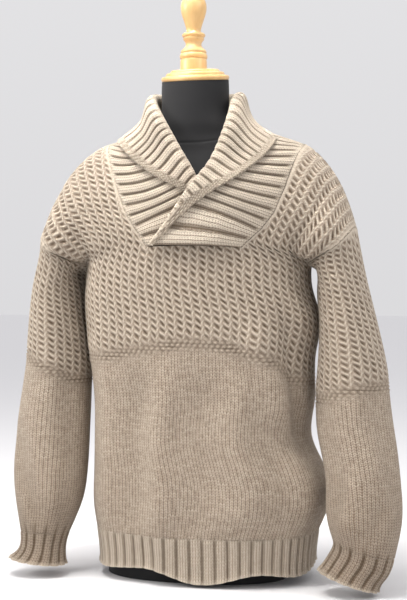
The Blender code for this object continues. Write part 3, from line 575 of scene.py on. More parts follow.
# %% Sizes of the sleeves and cuffs
WALL = 2.8
SLEEVE_SQUARENESS = 2.15
SLEEVE_KNOTS = 11
RIGHT_SLEEVE = (
    (215, -12, 482, 35, 70, 26), (222, -16, 448, 34.5, 66, 10), (230, -22, 402, 38.5, 62, 3),
    (237, -31, 355, 44, 58, 2), (241, -39, 310, 50, 55, 0), (243, -47, 265, 54, 52, 0),
    (249, -56, 218, 55, 49, 6), (259, -68, 170, 53, 47, 8), (262, -78, 128, 54, 46, 0),
    (264, -88, 90, 51, 43, -4), (264, -94, 64, 44, 36, -14),
)
LEFT_SLEEVE = (
    (214.5, -12, 484, 35, 70, 26), (222, -14, 448, 35, 66, 10), (224, -16, 402, 41, 62, 2),
    (223, -19, 340, 48, 58, 0), (225, -23, 290, 52, 55, 0), (228, -28, 245, 55, 52, 0),
    (229, -35, 200, 57, 50, 0), (228, -46, 155, 57, 48, 0), (225, -58, 118, 53, 44, -2),
    (224, -68, 88, 45, 38, -3), (226, -74, 66, 37, 33, 0),
)
RIGHT_CUFF = ((260, -98, 49, 43, 32, -26), (252, -102, 36, 42, 31, -24), (243, -106, 21, 44, 34, -18))
LEFT_CUFF = ((227, -79, 50, 34, 29, 2), (228, -83, 37, 35, 30, 4), (233, -87, 22, 43, 35, 6))
RIGHT_SLEEVE_FOLDS = (
    (80, 430, 100, 250, 22, 4.0), (120, 330, 150, 120, 24, -5.0), (40, 300, 70, 110, 24, -5.0),
    (95, 190, 60, 75, 20, 5.5), (60, 150, 30, 72, 16, -4.0), (125, 140, 100, 72, 15, -3.5),
    (250, 400, 280, 150, 26, -4.0), (310, 300, 300, 110, 22, 4.0),
)
LEFT_SLEEVE_FOLDS = (
    (95, 440, 80, 260, 22, 4.0), (110, 300, 60, 90, 24, 6.0), (140, 230, 100, 85, 22, -6.0),
    (60, 330, 45, 160, 22, -5.0), (60, 150, 45, 72, 15, -4.0), (120, 130, 115, 72, 14, 4.0),
    (250, 400, 280, 150, 26, -4.0), (310, 300, 300, 110, 22, 4.0),
)
print("sleeve rings", len(RIGHT_SLEEVE), len(LEFT_SLEEVE))

# %% Tubes from their rings
SLEEVE_COLUMNS = 180
SLEEVE_ANGLES = np.linspace(0, 2 * math.pi, SLEEVE_COLUMNS, endpoint=False)
YOKE_PLACES, PLAIN_PLACES, YOKE_SHARE = 132, 49, 0.55
SLEEVE_PLACES = np.concatenate(
    [np.linspace(0, YOKE_SHARE, YOKE_PLACES + 1)[:-1], np.linspace(YOKE_SHARE, 1, PLAIN_PLACES)]
)


def even_rings(rows, side, count):
    """Centres, sizes and turns of rings, evenly along a sleeve or cuff."""
    numbers = np.array(rows, float)
    length = run_lengths(numbers[:, :3])
    even = spline(length, numbers, np.linspace(0, length[-1], count))
    even[:, 0] *= side
    return even


def ring_points(ring, angles, side):
    """Inner points of one ring; angle 0 is the inner side, a quarter turn is the front."""
    x, y, z, half_width, half_depth, turn = ring
    cosine, sine = superellipse(angles, SLEEVE_SQUARENESS)
    across = np.array([math.cos(math.radians(turn)) * side, 0, math.sin(math.radians(turn))])
    wide = -cosine * (half_width - WALL)
    deep = sine * (half_depth - WALL)
    return np.array([x, y, z]) + wide[:, None] * across + deep[:, None] * np.array([0, -1, 0])


def armhole_ring(angles, side):
    """The armhole as the sleeve's angles run round it."""
    front = angles <= math.pi
    share = np.where(front, angles, 2 * math.pi - angles) / math.pi
    ring = np.where(front[:, None], armhole_point(share, True), armhole_point(share, False))
    return ring * (side, 1, 1)


def sleeve_surface(rows, side, folds):
    """A sleeve's inner surface from the armhole to the cuff's seam, and its outward normals."""
    rings = [ring_points(ring, SLEEVE_ANGLES, side) for ring in even_rings(rows, side, SLEEVE_KNOTS)]
    knots = np.array([armhole_ring(SLEEVE_ANGLES, side)] + rings)
    length = run_lengths(knots.mean(axis=1))
    grid = spline(length / length[-1], knots, SLEEVE_PLACES)
    normals = grid_normals(grid, closed=True) * -side
    degrees = np.degrees(np.broadcast_to(SLEEVE_ANGLES, grid.shape[:2]))
    above_cuff = smooth_step((1 - SLEEVE_PLACES) / 0.1)[:, None]
    grid = grid + normals * (fold_rise(folds, degrees, grid[..., 2]) * above_cuff)[..., None]
    return grid, grid_normals(grid, closed=True) * -side


sleeves = {
    1: sleeve_surface(RIGHT_SLEEVE, 1, RIGHT_SLEEVE_FOLDS),
    -1: sleeve_surface(LEFT_SLEEVE, -1, LEFT_SLEEVE_FOLDS),
}
print("sleeve grid", sleeves[1][0].shape)

# %% [markdown]
# ## Knit relief
# The yoke and the upper sleeves have thin knit ridges with a ladder of slanted bars between them.
# The bars stand up and leave slanted hollows that fall in shade.  Below the yoke the knitting is
# plain, and a few purl rows divide the two.  Stitches could be laid as thousands of yarn curves,
# but at a step away only their relief reads, so it is pressed into a fine mesh: a height for each
# point from its stitch place.  The finish paints that shade into the hollows by the same places.

# %% Ridges, bars and purl rows
REPEAT_WIDE = 13.3
REPEAT_TALL = 9.8
REPEAT_STEP = 0.35
BAR_SLOPE = 0.75
BAR_ROUNDNESS = 0.8
FLANK_SLOPE = 1.5
RIDGE_SHARE = 0.17
RIDGE_NOTCH = 0.28
HOLLOW_CENTRE, HOLLOW_SHARE, LEAST_HOLLOW = 0.62, 0.28, 0.15
BUMP_WIDE = 8.6
BUMP_TALL = 5.6


def textured(u, v):
    """Height, 0 to 1, of the yoke's ridges and slanted bars."""
    column = np.floor(u / REPEAT_WIDE)
    x = u / REPEAT_WIDE - column
    from_ridge = (x + 0.5) % 1.0 - 0.5
    stroke = (v - from_ridge * REPEAT_WIDE * FLANK_SLOPE) / REPEAT_TALL + (column + (x > 0.5)) * REPEAT_STEP
    notch = RIDGE_NOTCH * (0.5 - 0.5 * np.cos(2 * math.pi * stroke))
    ridge = bell(from_ridge, RIDGE_SHARE) * (1 - notch)
    run = (v + x * REPEAT_WIDE * BAR_SLOPE) / REPEAT_TALL + column * REPEAT_STEP
    bar = (0.5 + 0.5 * np.cos(2 * math.pi * run)) ** BAR_ROUNDNESS
    depth = LEAST_HOLLOW + (1 - LEAST_HOLLOW) * bell(x - HOLLOW_CENTRE, HOLLOW_SHARE)
    return 1 - (1 - ridge) * depth * (1 - bar)


def purled(u, v):
    """Height, 0 to 1, of rows of purl bumps, set off by half a bump in every other row."""
    row = np.floor(v / BUMP_TALL)
    uneven = 0.13 * np.sin(u / 37.0 + 2.0 * row)
    beads = np.cos(2 * math.pi * (u / BUMP_WIDE + 0.5 * row + uneven)) * 0.5 + 0.5
    return (0.25 + 0.75 * beads) * np.sin(math.pi * (v / BUMP_TALL - row)) ** 0.7


print("repeat", REPEAT_WIDE, "by", REPEAT_TALL, "mm")

# %% Relief and marks of a whole piece
YOKE_RELIEF = 2.9
PLAIN_LEVEL = 1.4
PURL_RELIEF = 2.9
PURL_SHADE = 0.9
PURL_LIGHT = 0.45
PURL_BAND = 10.0
PURL_ABOVE = 7.0


def knit_relief(u, v, above_yoke_foot):
    """Relief in millimetres, and the marks that tell the finish what each point is."""
    yoke = smooth_step(above_yoke_foot / 4 + 0.5)
    band = bell(above_yoke_foot - PURL_ABOVE, PURL_BAND) * (above_yoke_foot > -PURL_ABOVE)
    relief = PLAIN_LEVEL + (YOKE_RELIEF * textured(u, v) - PLAIN_LEVEL) * yoke
    bumps = purled(u, v)
    relief += (PURL_RELIEF * bumps - relief) * band
    # Painted shade between the purl bumps, and a painted highlight on their tops.
    marks = {
        "hollow": (1 - bumps) * band * PURL_SHADE,
        "chain": bumps * band * PURL_LIGHT,
        "plain": 1 - np.maximum(yoke, band),
        "yoke": yoke * (1 - band),
    }
    return relief, marks


print("yoke relief", YOKE_RELIEF, "mm")

# %% Ribs
RIB_FURROW_SHARE = 0.105
RIB_LEVEL = 0.8
RIB_BEGINS = 1.7
HEM_RIBS = 60
HEM_RIB_SPREAD = 0.95
CUFF_RIBS = 15


def rib_height(place):
    """Height, 0 to 1, of wide ribs with narrow furrows; place counts in ribs."""
    x = place % 1.0
    near = np.minimum(x, 1 - x)
    return (1 - bell(near, RIB_FURROW_SHARE)) * (0.55 + 0.45 * np.sin(math.pi * x))


def rib_places(turn, ribs, spread=0.0):
    """Places in ribs round a tube; spread widens the ribs in the middle of front and back."""
    return turn * ribs + spread * np.sin(4 * math.pi * turn)


def early_ribs(place, share):
    """Relief to add above a ribbed piece, where its ribs begin: share runs from 0 to 1."""
    return RIB_BEGINS * (rib_height(place) - RIB_LEVEL) * smooth_step(share)


print("ribs round the hem", HEM_RIBS, "and round a cuff", CUFF_RIBS)

# %% [markdown]
# ## Walls of cloth
# Each piece is a closed wall: an outer skin with the stitches, an inner skin, and a rim between
# them.  A Solidify modifier would copy the fine skin inside and double the points.  Here an inner
# skin that nobody sees closely takes every third or fourth point, and the rim joins fine to
# coarse.  The collar shows both its skins, so both are fine.

# %% Rims
def boundary_edges(kept, columns, closed):
    """Directed edges of the kept cells that no other kept cell shares, as pairs of grid places."""
    edges = set()
    for i, j in zip(*np.nonzero(kept)):
        k = (j + 1) % columns if closed else j + 1
        face = ((i, j), (i, k), (i + 1, k), (i + 1, j))
        edges.update(zip(face, face[1:] + face[:1]))
    return [(a, b) for a, b in edges if (b, a) not in edges]


def between(a, b, step, fine_columns):
    """Grid places of the fine points from one coarse point to the next."""
    (i, j), (m, n) = a, b
    if abs(n - j) > 1:
        n = n + fine_columns // step if n < j else n
        j = j + fine_columns // step if j < n - 1 else j
    path = [(i * step + (m - i) * k, j * step + (n - j) * k) for k in range(step + 1)]
    return [(row, column % fine_columns) for row, column in path]


print("rims join fine and coarse skins")

# %% Skins, rim and marks
MM = 0.001
SHARP_EDGE = math.radians(75)


def faces_outwards(points, *groups):
    """Whether quads face outwards, from the sign of the volume that they close."""
    total = 0.0
    for quads in groups:
        first, second, third, fourth = (points[quads[:, k]] for k in range(4))
        for b, c in ((second, third), (third, fourth)):
            total += np.einsum("ij,ij->i", first, np.cross(b, c)).sum()
    return total >= 0


def write_stitches(mesh, stitches, fine_kept, point_uv, turned):
    """Stitch places as a UV map.  The outer skin's are given at corners, as its seam needs."""
    i, j = np.nonzero(fine_kept)
    corners = ((i, j), (i, j + 1), (i + 1, j + 1), (i + 1, j))
    loops = np.stack([np.stack([grid[c] for grid in stitches], axis=-1) for c in corners], axis=1)
    if turned:
        loops = loops[:, ::-1]
    corner_points = np.empty(len(mesh.loops), np.int32)
    mesh.loops.foreach_get("vertex_index", corner_points)
    uv = point_uv[corner_points]
    uv[: loops.shape[0] * 4] = loops.reshape(-1, 2)
    layer = mesh.uv_layers.new(name="stitches")
    layer.uv.foreach_set("vector", (uv * MM).astype(np.float32).ravel())


def knit_wall(name, outer, inner, step, stitches, marks, kept=None, closed=False):
    """A wall of cloth: a fine outer skin, an inner skin of every step-th point, and a rim.

    stitches is a pair of grids with one more column than a closed skin has; marks is a dictionary
    of point attributes of the outer skin."""
    rows, columns = outer.shape[:2]
    coarse = inner[::step, ::step]
    coarse_rows, coarse_columns = coarse.shape[:2]
    if kept is None:
        kept = np.ones((coarse_rows - 1, coarse_columns if closed else coarse_columns - 1), bool)
    fine_kept = np.kron(kept, np.ones((step, step), bool)).astype(bool)

    def quads(which, width, start, flip):
        i, j = np.nonzero(which)
        k = (j + 1) % width if closed else j + 1
        corners = np.stack([i * width + j, i * width + k, (i + 1) * width + k, (i + 1) * width + j], axis=1)
        return (corners[:, ::-1] if flip else corners) + start

    outside = quads(fine_kept, columns, 0, False)
    inside = quads(kept, coarse_columns, rows * columns, True)
    rims = []
    for a, b in boundary_edges(kept, coarse_columns, closed):
        path = [i * columns + j for i, j in between(a, b, step, columns)]
        ends = [rows * columns + i * coarse_columns + j for i, j in (a, b)]
        rims.append(path[::-1] + ends)
    points = np.concatenate([outer.reshape(-1, 3), coarse.reshape(-1, 3)])
    used = np.zeros(len(points), bool)
    used[outside.ravel()] = True
    used[inside.ravel()] = True
    place = np.cumsum(used) - 1
    turned = not faces_outwards(points, outside, inside)
    faces = outside.tolist() + inside.tolist() + rims
    faces = [[int(place[p]) for p in (face[::-1] if turned else face)] for face in faces]
    mesh = bpy.data.meshes.new(name)
    mesh.from_pydata((points[used] * MM).tolist(), [], faces)
    mesh.update()
    mesh.shade_smooth()
    mesh.set_sharp_from_angle(angle=SHARP_EDGE)

    coarse_uv = np.stack([grid[::step, ::step][:coarse_rows, :coarse_columns] for grid in stitches], axis=-1)
    fine_uv = np.stack([grid[:rows, :columns] for grid in stitches], axis=-1)
    point_uv = np.concatenate([fine_uv.reshape(-1, 2), coarse_uv.reshape(-1, 2)])[used]
    write_stitches(mesh, stitches, fine_kept, point_uv, turned)
    for mark, values in marks.items():
        full = np.concatenate([values.ravel(), values[::step, ::step].ravel()])[used]
        attribute = mesh.attributes.new(mark, "FLOAT", "POINT")
        attribute.data.foreach_set("value", full.astype(np.float32))
    print(name, "points", int(used.sum()), "triangles", sum(len(face) - 2 for face in faces))
    return placed(name, mesh)


# %% [markdown]
# ## Front, back and sleeves
# The panels meet the sleeves at a raised seam on the dropped shoulder, and the neck edge carries
# a bright chain of picked-up stitches; both get a painted highlight.  Both are the last few millimetres of
# the panel itself.
# Separate tubes could be laid along the seams, but a ridge in the knitting joins without a gap.

# %% Rows, columns and places of the panels
PANEL_STEP = 3
ROW_STOPS = (0.0, 0.5, 1.0)
FRONT_ROWS, BACK_ROWS = (42, 108, 18, 111), (42, 84, 84, 18)
FRONT_CELLS, BACK_CELLS = (99, 84), (81, 120)
TINY = 1e-9


def panel_layout(front):
    """Rises, shares for every row, and which coarse cells of the panel's grid hold cloth."""
    foot = foot_rise(front)
    stops = ROW_STOPS + (foot, 2.0)
    counts = FRONT_ROWS if front else BACK_ROWS
    spans = [np.linspace(a, b, n, endpoint=False) for a, b, n in zip(stops, stops[1:], counts)]
    rises = np.concatenate(spans + [[2.0]])
    side, middle = FRONT_CELLS if front else BACK_CELLS
    neck_shares = front_neck_shares if front else back_neck_shares
    coarse = np.linspace(foot, 2.0, 15)
    edges = [np.interp(np.maximum(rises, foot), coarse, column) for column in neck_shares(coarse).T]
    edges = np.stack(edges, axis=1)
    shares = []
    for left, right in edges:
        outer_left = np.linspace(-1, left, side + 1)[:-1]
        opening = np.linspace(left, right, middle + 1)[:-1]
        shares.append(np.concatenate([outer_left, opening, np.linspace(right, 1, side + 1)]))
    shares = np.array(shares)
    above = rises >= foot - TINY
    kept = np.ones(((len(rises) - 1) // PANEL_STEP, (shares.shape[1] - 1) // PANEL_STEP), bool)
    first = int(np.argmax(above)) // PANEL_STEP
    kept[first:, side // PANEL_STEP: (side + middle) // PANEL_STEP] = False
    grid, normals = folded_panel(front, rises, shares)
    return {
        "rises": rises, "shares": shares, "kept": kept, "edges": edges, "above": above,
        "grid": grid, "normals": normals,
    }


def stitch_places(front, rises, shares):
    """Stitch places of a panel: across by its share of the row, up by the run along the cloth."""
    guide = np.linspace(-1, 1, 21)
    coarse = panel_points(front, rises, guide)
    up = run_lengths(coarse)
    v = np.stack([np.interp(shares[i], guide, up[i]) for i in range(len(rises))])
    width = run_lengths(coarse[np.argmin(np.abs(rises - 0.8))])[-1]
    repeats = round(width / REPEAT_WIDE)
    u = shares * repeats * REPEAT_WIDE / 2
    return (u if front else -u), v, width


panels = {front: panel_layout(front) for front in (True, False)}
print("front grid", panels[True]["grid"].shape, "back grid", panels[False]["grid"].shape)

# %% Outward directions that neighbours share
EDGE_BLEND = 12.0
SHOULDER_BLEND = 190.0


def lean_to(offset, target, distance):
    """Offsets that turn to the target's at an edge, and back to their own away from it."""
    share = smooth_step(distance / EDGE_BLEND)[..., None]
    return unit(target + (offset - target) * share)


def panel_offsets(front, panel, half):
    """Outward directions of a panel, shared at armhole and shoulder with the piece it meets."""
    rises, shares, normals = panel["rises"], panel["shares"], panel["normals"]
    seam = rises >= 1.0 - TINY
    level = normals.copy()
    level[..., 2] *= smooth_step((rises - 0.85) / 0.25)[:, None]
    offset = unit(level)
    turn = (rises[seam] - 1) * math.pi
    turn = turn if front else 2 * math.pi - turn
    wrapped = np.append(SLEEVE_ANGLES, 2 * math.pi)
    for side, edge in ((1, -1), (-1, 0)):
        panel["grid"][seam, edge] = armhole_point(rises[seam] - 1, front) * (side, 1, 1)
        around = np.vstack([sleeves[side][1][0], sleeves[side][1][0][:1]])
        ring = np.stack([np.interp(turn, wrapped, around[:, axis]) for axis in range(3)], axis=1)
        own = normals[seam, edge]
        own[0] = (side, 0, 0)
        target = np.tile(np.array([float(side), 0, 0]), (len(rises), 1))
        target[seam] = unit(own + ring)
        distance = (1 - shares * side) * half
        mixed = lean_to(offset, target[:, None, :], distance)
        offset = np.where((distance < EDGE_BLEND)[..., None], mixed, offset)
    across_top = unit(unit(normals[-1] + np.array([0, 0, 1.0])) * (1, 0, 1))
    to_shoulder = np.broadcast_to((2.0 - rises)[:, None] * SHOULDER_BLEND, offset.shape[:2])
    return lean_to(offset, across_top[None], to_shoulder)


def sleeve_offsets(side, down):
    """Outward directions of a sleeve, and those of its first ring, shared with the panels."""
    normals = sleeves[side][1]
    turn = np.where(SLEEVE_ANGLES <= math.pi, SLEEVE_ANGLES, 2 * math.pi - SLEEVE_ANGLES) / math.pi
    own = []
    for angle, share in zip(SLEEVE_ANGLES, turn):
        panel = panels[bool(angle <= math.pi)]
        row = np.argmin(np.abs(panel["rises"] - 1 - share))
        own.append(panel["normals"][row, -1 if side > 0 else 0])
    own = np.array(own)
    own[0] = (side, 0, 0)
    target = unit(own + normals[0])
    return lean_to(normals, target[None], np.broadcast_to(down, normals.shape[:2])), target


print("directions blend over", EDGE_BLEND, "mm from an armhole")

# %% Seams, and relief of the panels
SEAM_RELIEF = 1.3
SEAM_WIDTH = 2.3
CHAIN_TALL = 6.0
HEM_RIBS_ABOVE = 13.0
FRONT_YOKE_FOOT = (
    (-1.0, 322), (-0.54, 327), (-0.32, 336), (-0.08, 345), (0.09, 348),
    (0.31, 340), (0.42, 330), (0.58, 318), (0.72, 294), (1.0, 287),
)
BACK_YOKE_FOOT = ((-1.0, 322), (-0.4, 338), (0.2, 342), (0.6, 325), (1.0, 287))


def raise_seam(relief, marks, ridge, level):
    """Lift a piece to a seam's level along the ridge, and mark the ridge as a chain for a painted highlight.
    """
    marks = {mark: values * (1 - ridge) for mark, values in marks.items()}
    marks["chain"] = np.maximum(marks["chain"], ridge)
    return relief + (PLAIN_LEVEL + level - relief) * ridge, marks


def seam_ridges(front, panel, half):
    """1 along a panel's armholes and neck edge, fading to 0 beside them."""
    rises, shares = panel["rises"], panel["shares"]
    armhole_rows = smooth_step((rises - 1.02) / 0.1)[:, None]
    neck_from = foot_rise(True) - 0.02 if front else 1.99
    neck_rows = smooth_step((rises - neck_from) / 0.02)[:, None]
    ridge = np.zeros_like(shares)
    for side, k in ((1, 1), (-1, 0)):
        from_armhole = (1 - shares * side) * half
        from_neck = (shares - panel["edges"][:, k: k + 1]) * side * half
        ridge = np.maximum(ridge, armhole_rows * bell(from_armhole - 2, SEAM_WIDTH))
        ridge = np.maximum(ridge, neck_rows * (from_neck > -0.5) * bell(from_neck - 2, SEAM_WIDTH))
    return ridge


def panel_relief(front, panel, u, v, half):
    """Stitches of a panel, the early ribs above the hem, and its seams."""
    shares, z = panel["shares"], panel["grid"][..., 2]
    foot = np.array(FRONT_YOKE_FOOT if front else BACK_YOKE_FOOT)
    relief, marks = knit_relief(u, v, z - np.interp(shares, foot[:, 0], foot[:, 1]))
    turn = (shares + 1) / 4 if front else (3 - shares) / 4
    ribs_above = HEM_RIBS_ABOVE * (1 + 0.35 * np.sin(shares * 9.0) + 0.2 * np.sin(shares * 23.0))
    near_hem = 1 - (z - HEM_SEAM_Z) / ribs_above
    relief += early_ribs(rib_places(turn, HEM_RIBS, HEM_RIB_SPREAD), near_hem)
    chain = 0.5 + 0.5 * np.cos(2 * math.pi * v / CHAIN_TALL)
    return raise_seam(relief, marks, seam_ridges(front, panel, half), SEAM_RELIEF * (0.7 + 0.3 * chain))


print("seams stand", SEAM_RELIEF, "mm proud")

# %% Relief of the sleeves
SLEEVE_ROWS_TIGHTER = 1.1
SLEEVE_FOOT = {
    1: ((0, 262), (60, 272), (120, 284), (170, 288), (260, 280), (360, 262)),
    -1: ((0, 286), (40, 288), (90, 306), (150, 330), (250, 318), (360, 286)),
}
CUFF_RIBS_ABOVE = {1: 10.0, -1: 27.0}
# Painted shade on the cuffs and over the lowest stretch of each sleeve.
CUFF_PAINTED_SHADE = 0.5
PAINTED_SHADE_STARTS = 190.0
WIDEST_RING = 60


def sleeve_relief(side, grid, down):
    """Stitches of a sleeve, the early ribs and a painted shade that darkens it towards its cuff, and its
    seam.
    """
    around = run_lengths(np.vstack([grid[WIDEST_RING], grid[WIDEST_RING][:1]]))[-1]
    wide = round(around / REPEAT_WIDE) * REPEAT_WIDE
    u = np.linspace(0, wide, SLEEVE_COLUMNS + 1) * side
    u, v = np.broadcast_arrays(u[None, :], -down * SLEEVE_ROWS_TIGHTER)
    foot = np.array(SLEEVE_FOOT[side], float)
    yoke_foot = np.interp(np.degrees(SLEEVE_ANGLES), foot[:, 0], foot[:, 1])
    relief, marks = knit_relief(u[:, :-1], v[:, :-1], grid[..., 2] - yoke_foot)
    to_cuff = down[-1] - down
    near_cuff = 1 - to_cuff / CUFF_RIBS_ABOVE[side]
    turn = SLEEVE_ANGLES[None] / (2 * math.pi)
    relief += early_ribs(rib_places(turn, CUFF_RIBS), near_cuff)
    # Painted shade in the furrows where the cuff's ribs begin.
    furrows = (1 - rib_height(turn * CUFF_RIBS)) * smooth_step(near_cuff)
    marks["hollow"] = np.maximum(marks["hollow"], furrows * 0.8)
    # Painted shade: the sleeve grows darker towards its cuff.
    marks["dusk"] = CUFF_PAINTED_SHADE * smooth_step(1 - to_cuff / PAINTED_SHADE_STARTS) * np.ones_like(relief)
    ridge = bell(down - 2, SEAM_WIDTH) * np.ones_like(relief)
    return (u, v), *raise_seam(relief, marks, ridge, SEAM_RELIEF)


print("ribs begin", CUFF_RIBS_ABOVE[1], "and", CUFF_RIBS_ABOVE[-1], "mm above the cuffs")

# %% Knit the four large pieces
BASE_THICKNESS = 2.0
SEAM_GAP = 0.3
ARMHOLE_SEAM_GAP = 0.6


def knit_panel(name, front):
    """The front or the back; its skins are kept for the collar, which is picked up on them."""
    panel = panels[front]
    u, v, width = stitch_places(front, panel["rises"], panel["shares"])
    offset = panel_offsets(front, panel, width / 2)
    relief, marks = panel_relief(front, panel, u, v, width / 2)
    shift = np.array([0, -SEAM_GAP / 2 if front else SEAM_GAP / 2, 0])
    below = panel["rises"] <= 1.0 + TINY
    inner = panel["grid"].copy()
    for edge in (0, -1):
        inner[below, edge] += shift
    inner[-1] += shift
    panel["inner"] = inner
    panel["outer"] = inner + offset * (BASE_THICKNESS + relief)[..., None]
    return knit_wall(name, panel["outer"], inner, PANEL_STEP, (u, v), marks, kept=panel["kept"])


def knit_sleeve(name, side):
    """One sleeve, its first ring a hair away from the panels."""
    grid = sleeves[side][0]
    down = run_lengths(grid.mean(axis=1))[:, None]
    stitches, relief, marks = sleeve_relief(side, grid, down)
    offset, target = sleeve_offsets(side, down)
    tangent = np.roll(grid[0], -1, axis=0) - np.roll(grid[0], 1, axis=0)
    away = unit(np.cross(tangent, target))
    away *= np.where(np.sum(away * (grid[3] - grid[0]), axis=1, keepdims=True) < 0, -1, 1)
    inner = grid.copy()
    inner[0] += away * ARMHOLE_SEAM_GAP
    outer = inner + offset * (BASE_THICKNESS + relief)[..., None]
    return knit_wall(name, outer, inner, PANEL_STEP, stitches, marks, closed=True)


cloth = {"front_knit": knit_panel("front_knit", True), "back_knit": knit_panel("back_knit", False)}
for side, name in ((1, "right_sleeve_knit"), (-1, "left_sleeve_knit")):
    cloth[name] = knit_sleeve(name, side)

# %% [markdown]
# ## Ribbed hem and cuffs
# The ribbing is knit three, purl one, so wide soft ribs stand between narrow furrows.  It hangs
# from the last row of the plain knitting, where its ribs have already begun to draw the cloth in,
# and its cast-off edge is a little thicker.  A row of thin bars would do for a pleated skirt, but
# ribs are one cloth, so they are a wave in the wall's thickness.

# %% Ribbed tubes
RIB_RISE = 2.8
RIB_FURROW = 1.5
EDGE_ROLL = 1.5
ROLL_WIDE = 3.5
STITCH_WIDE = 5.1
STITCHES_A_RIB = 4
RIB_STEP = 4


def flat_offset(ring):
    """Unit offsets outwards in the plane of a closed ring of points."""
    ahead = np.roll(ring, -1, axis=0) - np.roll(ring, 1, axis=0)
    centre = ring.mean(axis=0)
    axis = unit(np.sum(np.cross(ring - centre, np.roll(ring, -1, axis=0) - centre), axis=0))
    outward = unit(np.cross(ahead, axis))
    return outward * np.where(np.sum(outward * (ring - centre), axis=-1, keepdims=True) < 0, -1, 1)


def ribbed_tube(name, inner, ribs, spread=0.0, emerges=6.0, shade=1.0, dusk=0.0):
    """A ribbed tube on rings of inner points, from its seam to its cast-off edge.

    spread widens the ribs in the middle of the front and back, the ribs emerge over a few
    millimetres from the plain knitting, shade says how dark the painted shade in their furrows is,
    and dusk how much painted shade darkens the whole piece."""
    columns = inner.shape[1]
    height = rib_height(rib_places(np.arange(columns) / columns, ribs, spread))
    outward = np.array([flat_offset(ring) for ring in inner])
    down = run_lengths(inner.mean(axis=1))
    to_edge = down[-1] - down
    emerged = smooth_step(0.5 + down / emerges)[:, None]
    height = RIB_LEVEL + (height[None, :] - RIB_LEVEL) * emerged
    thickness = RIB_FURROW + RIB_RISE * height + EDGE_ROLL * bell(to_edge, ROLL_WIDE)[:, None]
    thickness = thickness * (0.75 + 0.25 * smooth_step(down / 4))[:, None]
    wide = np.linspace(0, ribs * STITCHES_A_RIB * STITCH_WIDE, columns + 1)
    stitches = np.broadcast_arrays(wide[None, :], -down[:, None])
    # Painted shade in the furrows, less on the rolled cast-off edge, which gets a painted highlight.
    hollow = np.maximum(1 - height - (1 - RIB_LEVEL) * (1 - emerged), 0) * shade
    edge = bell(to_edge, 3.0)[:, None] * np.ones_like(hollow)
    marks = {
        "hollow": hollow * (1 - 0.6 * edge),
        "plain": np.ones_like(hollow),
        "chain": edge * 0.7,
        "dusk": np.full_like(hollow, dusk),
    }
    outer = inner + outward * thickness[..., None]
    return knit_wall(name, outer, inner, RIB_STEP, stitches, marks, closed=True)


print("ribs stand", RIB_RISE, "mm high")

# %% Hem
HEM_PULL_IN = 5.0
HEM_ROWS = 17
POINTS_A_HEM_RIB = 12
HEM_COLUMNS = ("across", "drop_z")
FRONT_HEM = (
    (-1.0, 24), (-0.80, 18), (-0.66, 17), (-0.47, 21), (-0.23, 25), (-0.15, 18), (-0.09, 10),
    (0.0, 5), (0.09, 4), (0.16, 6), (0.25, 11), (0.34, 18), (0.43, 23), (0.63, 15), (0.78, 12),
    (0.86, 18), (1.0, 27),
)
BACK_HEM = (
    (-1.0, 24), (-0.6, 18), (-0.25, 12), (0.1, 17), (0.5, 12), (0.8, 21), (1.0, 27),
)


def hem_rings(rows, columns):
    """Inner rings of the hem, hung from the lowest row of both panels."""
    places = np.arange(columns) / columns
    half = columns // 2
    share = np.where(places < 0.5, 4 * places - 1, 3 - 4 * places)
    top, edge = [], []
    for front, part, hem in ((True, share[:half], FRONT_HEM), (False, share[half:], BACK_HEM)):
        row, _ = folded_panel(front, np.array([0.0, 0.02]), part)
        levels = table(HEM_COLUMNS, hem)
        guide = np.linspace(-1, 1, 81)
        soft = np.interp(guide, levels["across"], levels["drop_z"])
        soft = np.convolve(np.pad(soft, 4, mode="edge"), np.ones(9) / 9, mode="valid")
        top.append(row[0])
        edge.append(np.interp(part, guide, soft))
    top, edge = np.concatenate(top), np.concatenate(edge)
    top[:, 2] = HEM_SEAM_Z - SEAM_GAP
    outward = flat_offset(top)
    rings = []
    for run in np.linspace(0, 1, rows):
        ring = top - outward * HEM_PULL_IN * math.sin(run * math.pi / 2)
        ring[:, 2] = top[:, 2] + (edge - top[:, 2]) * run
        rings.append(ring)
    return np.array(rings)


cloth["hem_rib_knit"] = ribbed_tube(
    "hem_rib_knit", hem_rings(HEM_ROWS, HEM_RIBS * POINTS_A_HEM_RIB), HEM_RIBS,
    spread=HEM_RIB_SPREAD, emerges=9.0, shade=0.85,
)

# %% Cuffs
CUFF_SEAM_GAP = 0.35
CUFF_ROWS = 21
POINTS_A_CUFF_RIB = 16


def cuff_rings(cuff, sleeve, side):
    """Inner rings of a cuff, from the sleeve's last ring to the flared edge."""
    columns = CUFF_RIBS * POINTS_A_CUFF_RIB
    angles = np.arange(columns) / columns * 2 * math.pi
    numbers = np.array([sleeve[-1]] + list(cuff), float)
    numbers[0, :3] += unit(numbers[1, :3] - numbers[0, :3]) * CUFF_SEAM_GAP
    return np.array([ring_points(ring, angles, side) for ring in even_rings(numbers, side, CUFF_ROWS)])


# The cuffs carry the same painted shade as the foot of the sleeves.
for side, name, cuff, sleeve in (
    (1, "right_cuff_knit", RIGHT_CUFF, RIGHT_SLEEVE), (-1, "left_cuff_knit", LEFT_CUFF, LEFT_SLEEVE),
):
    cloth[name] = ribbed_tube(name, cuff_rings(cuff, sleeve, side), CUFF_RIBS, dusk=CUFF_PAINTED_SHADE)

# %% [markdown]
# ## Shawl collar
# The collar is one long ribbed band, picked up along the neck edge.  It stands up, folds over and
# lies on itself, and its two ends cross at the foot of the opening.  A straight strip could be
# bent by modifiers, but it would miss the neck edge.  Here the strip starts on that edge, and a
# spline takes it over the fold.  Both faces of the strip show, so both carry ribs, and the free
# edge has a border of bumpy rows.

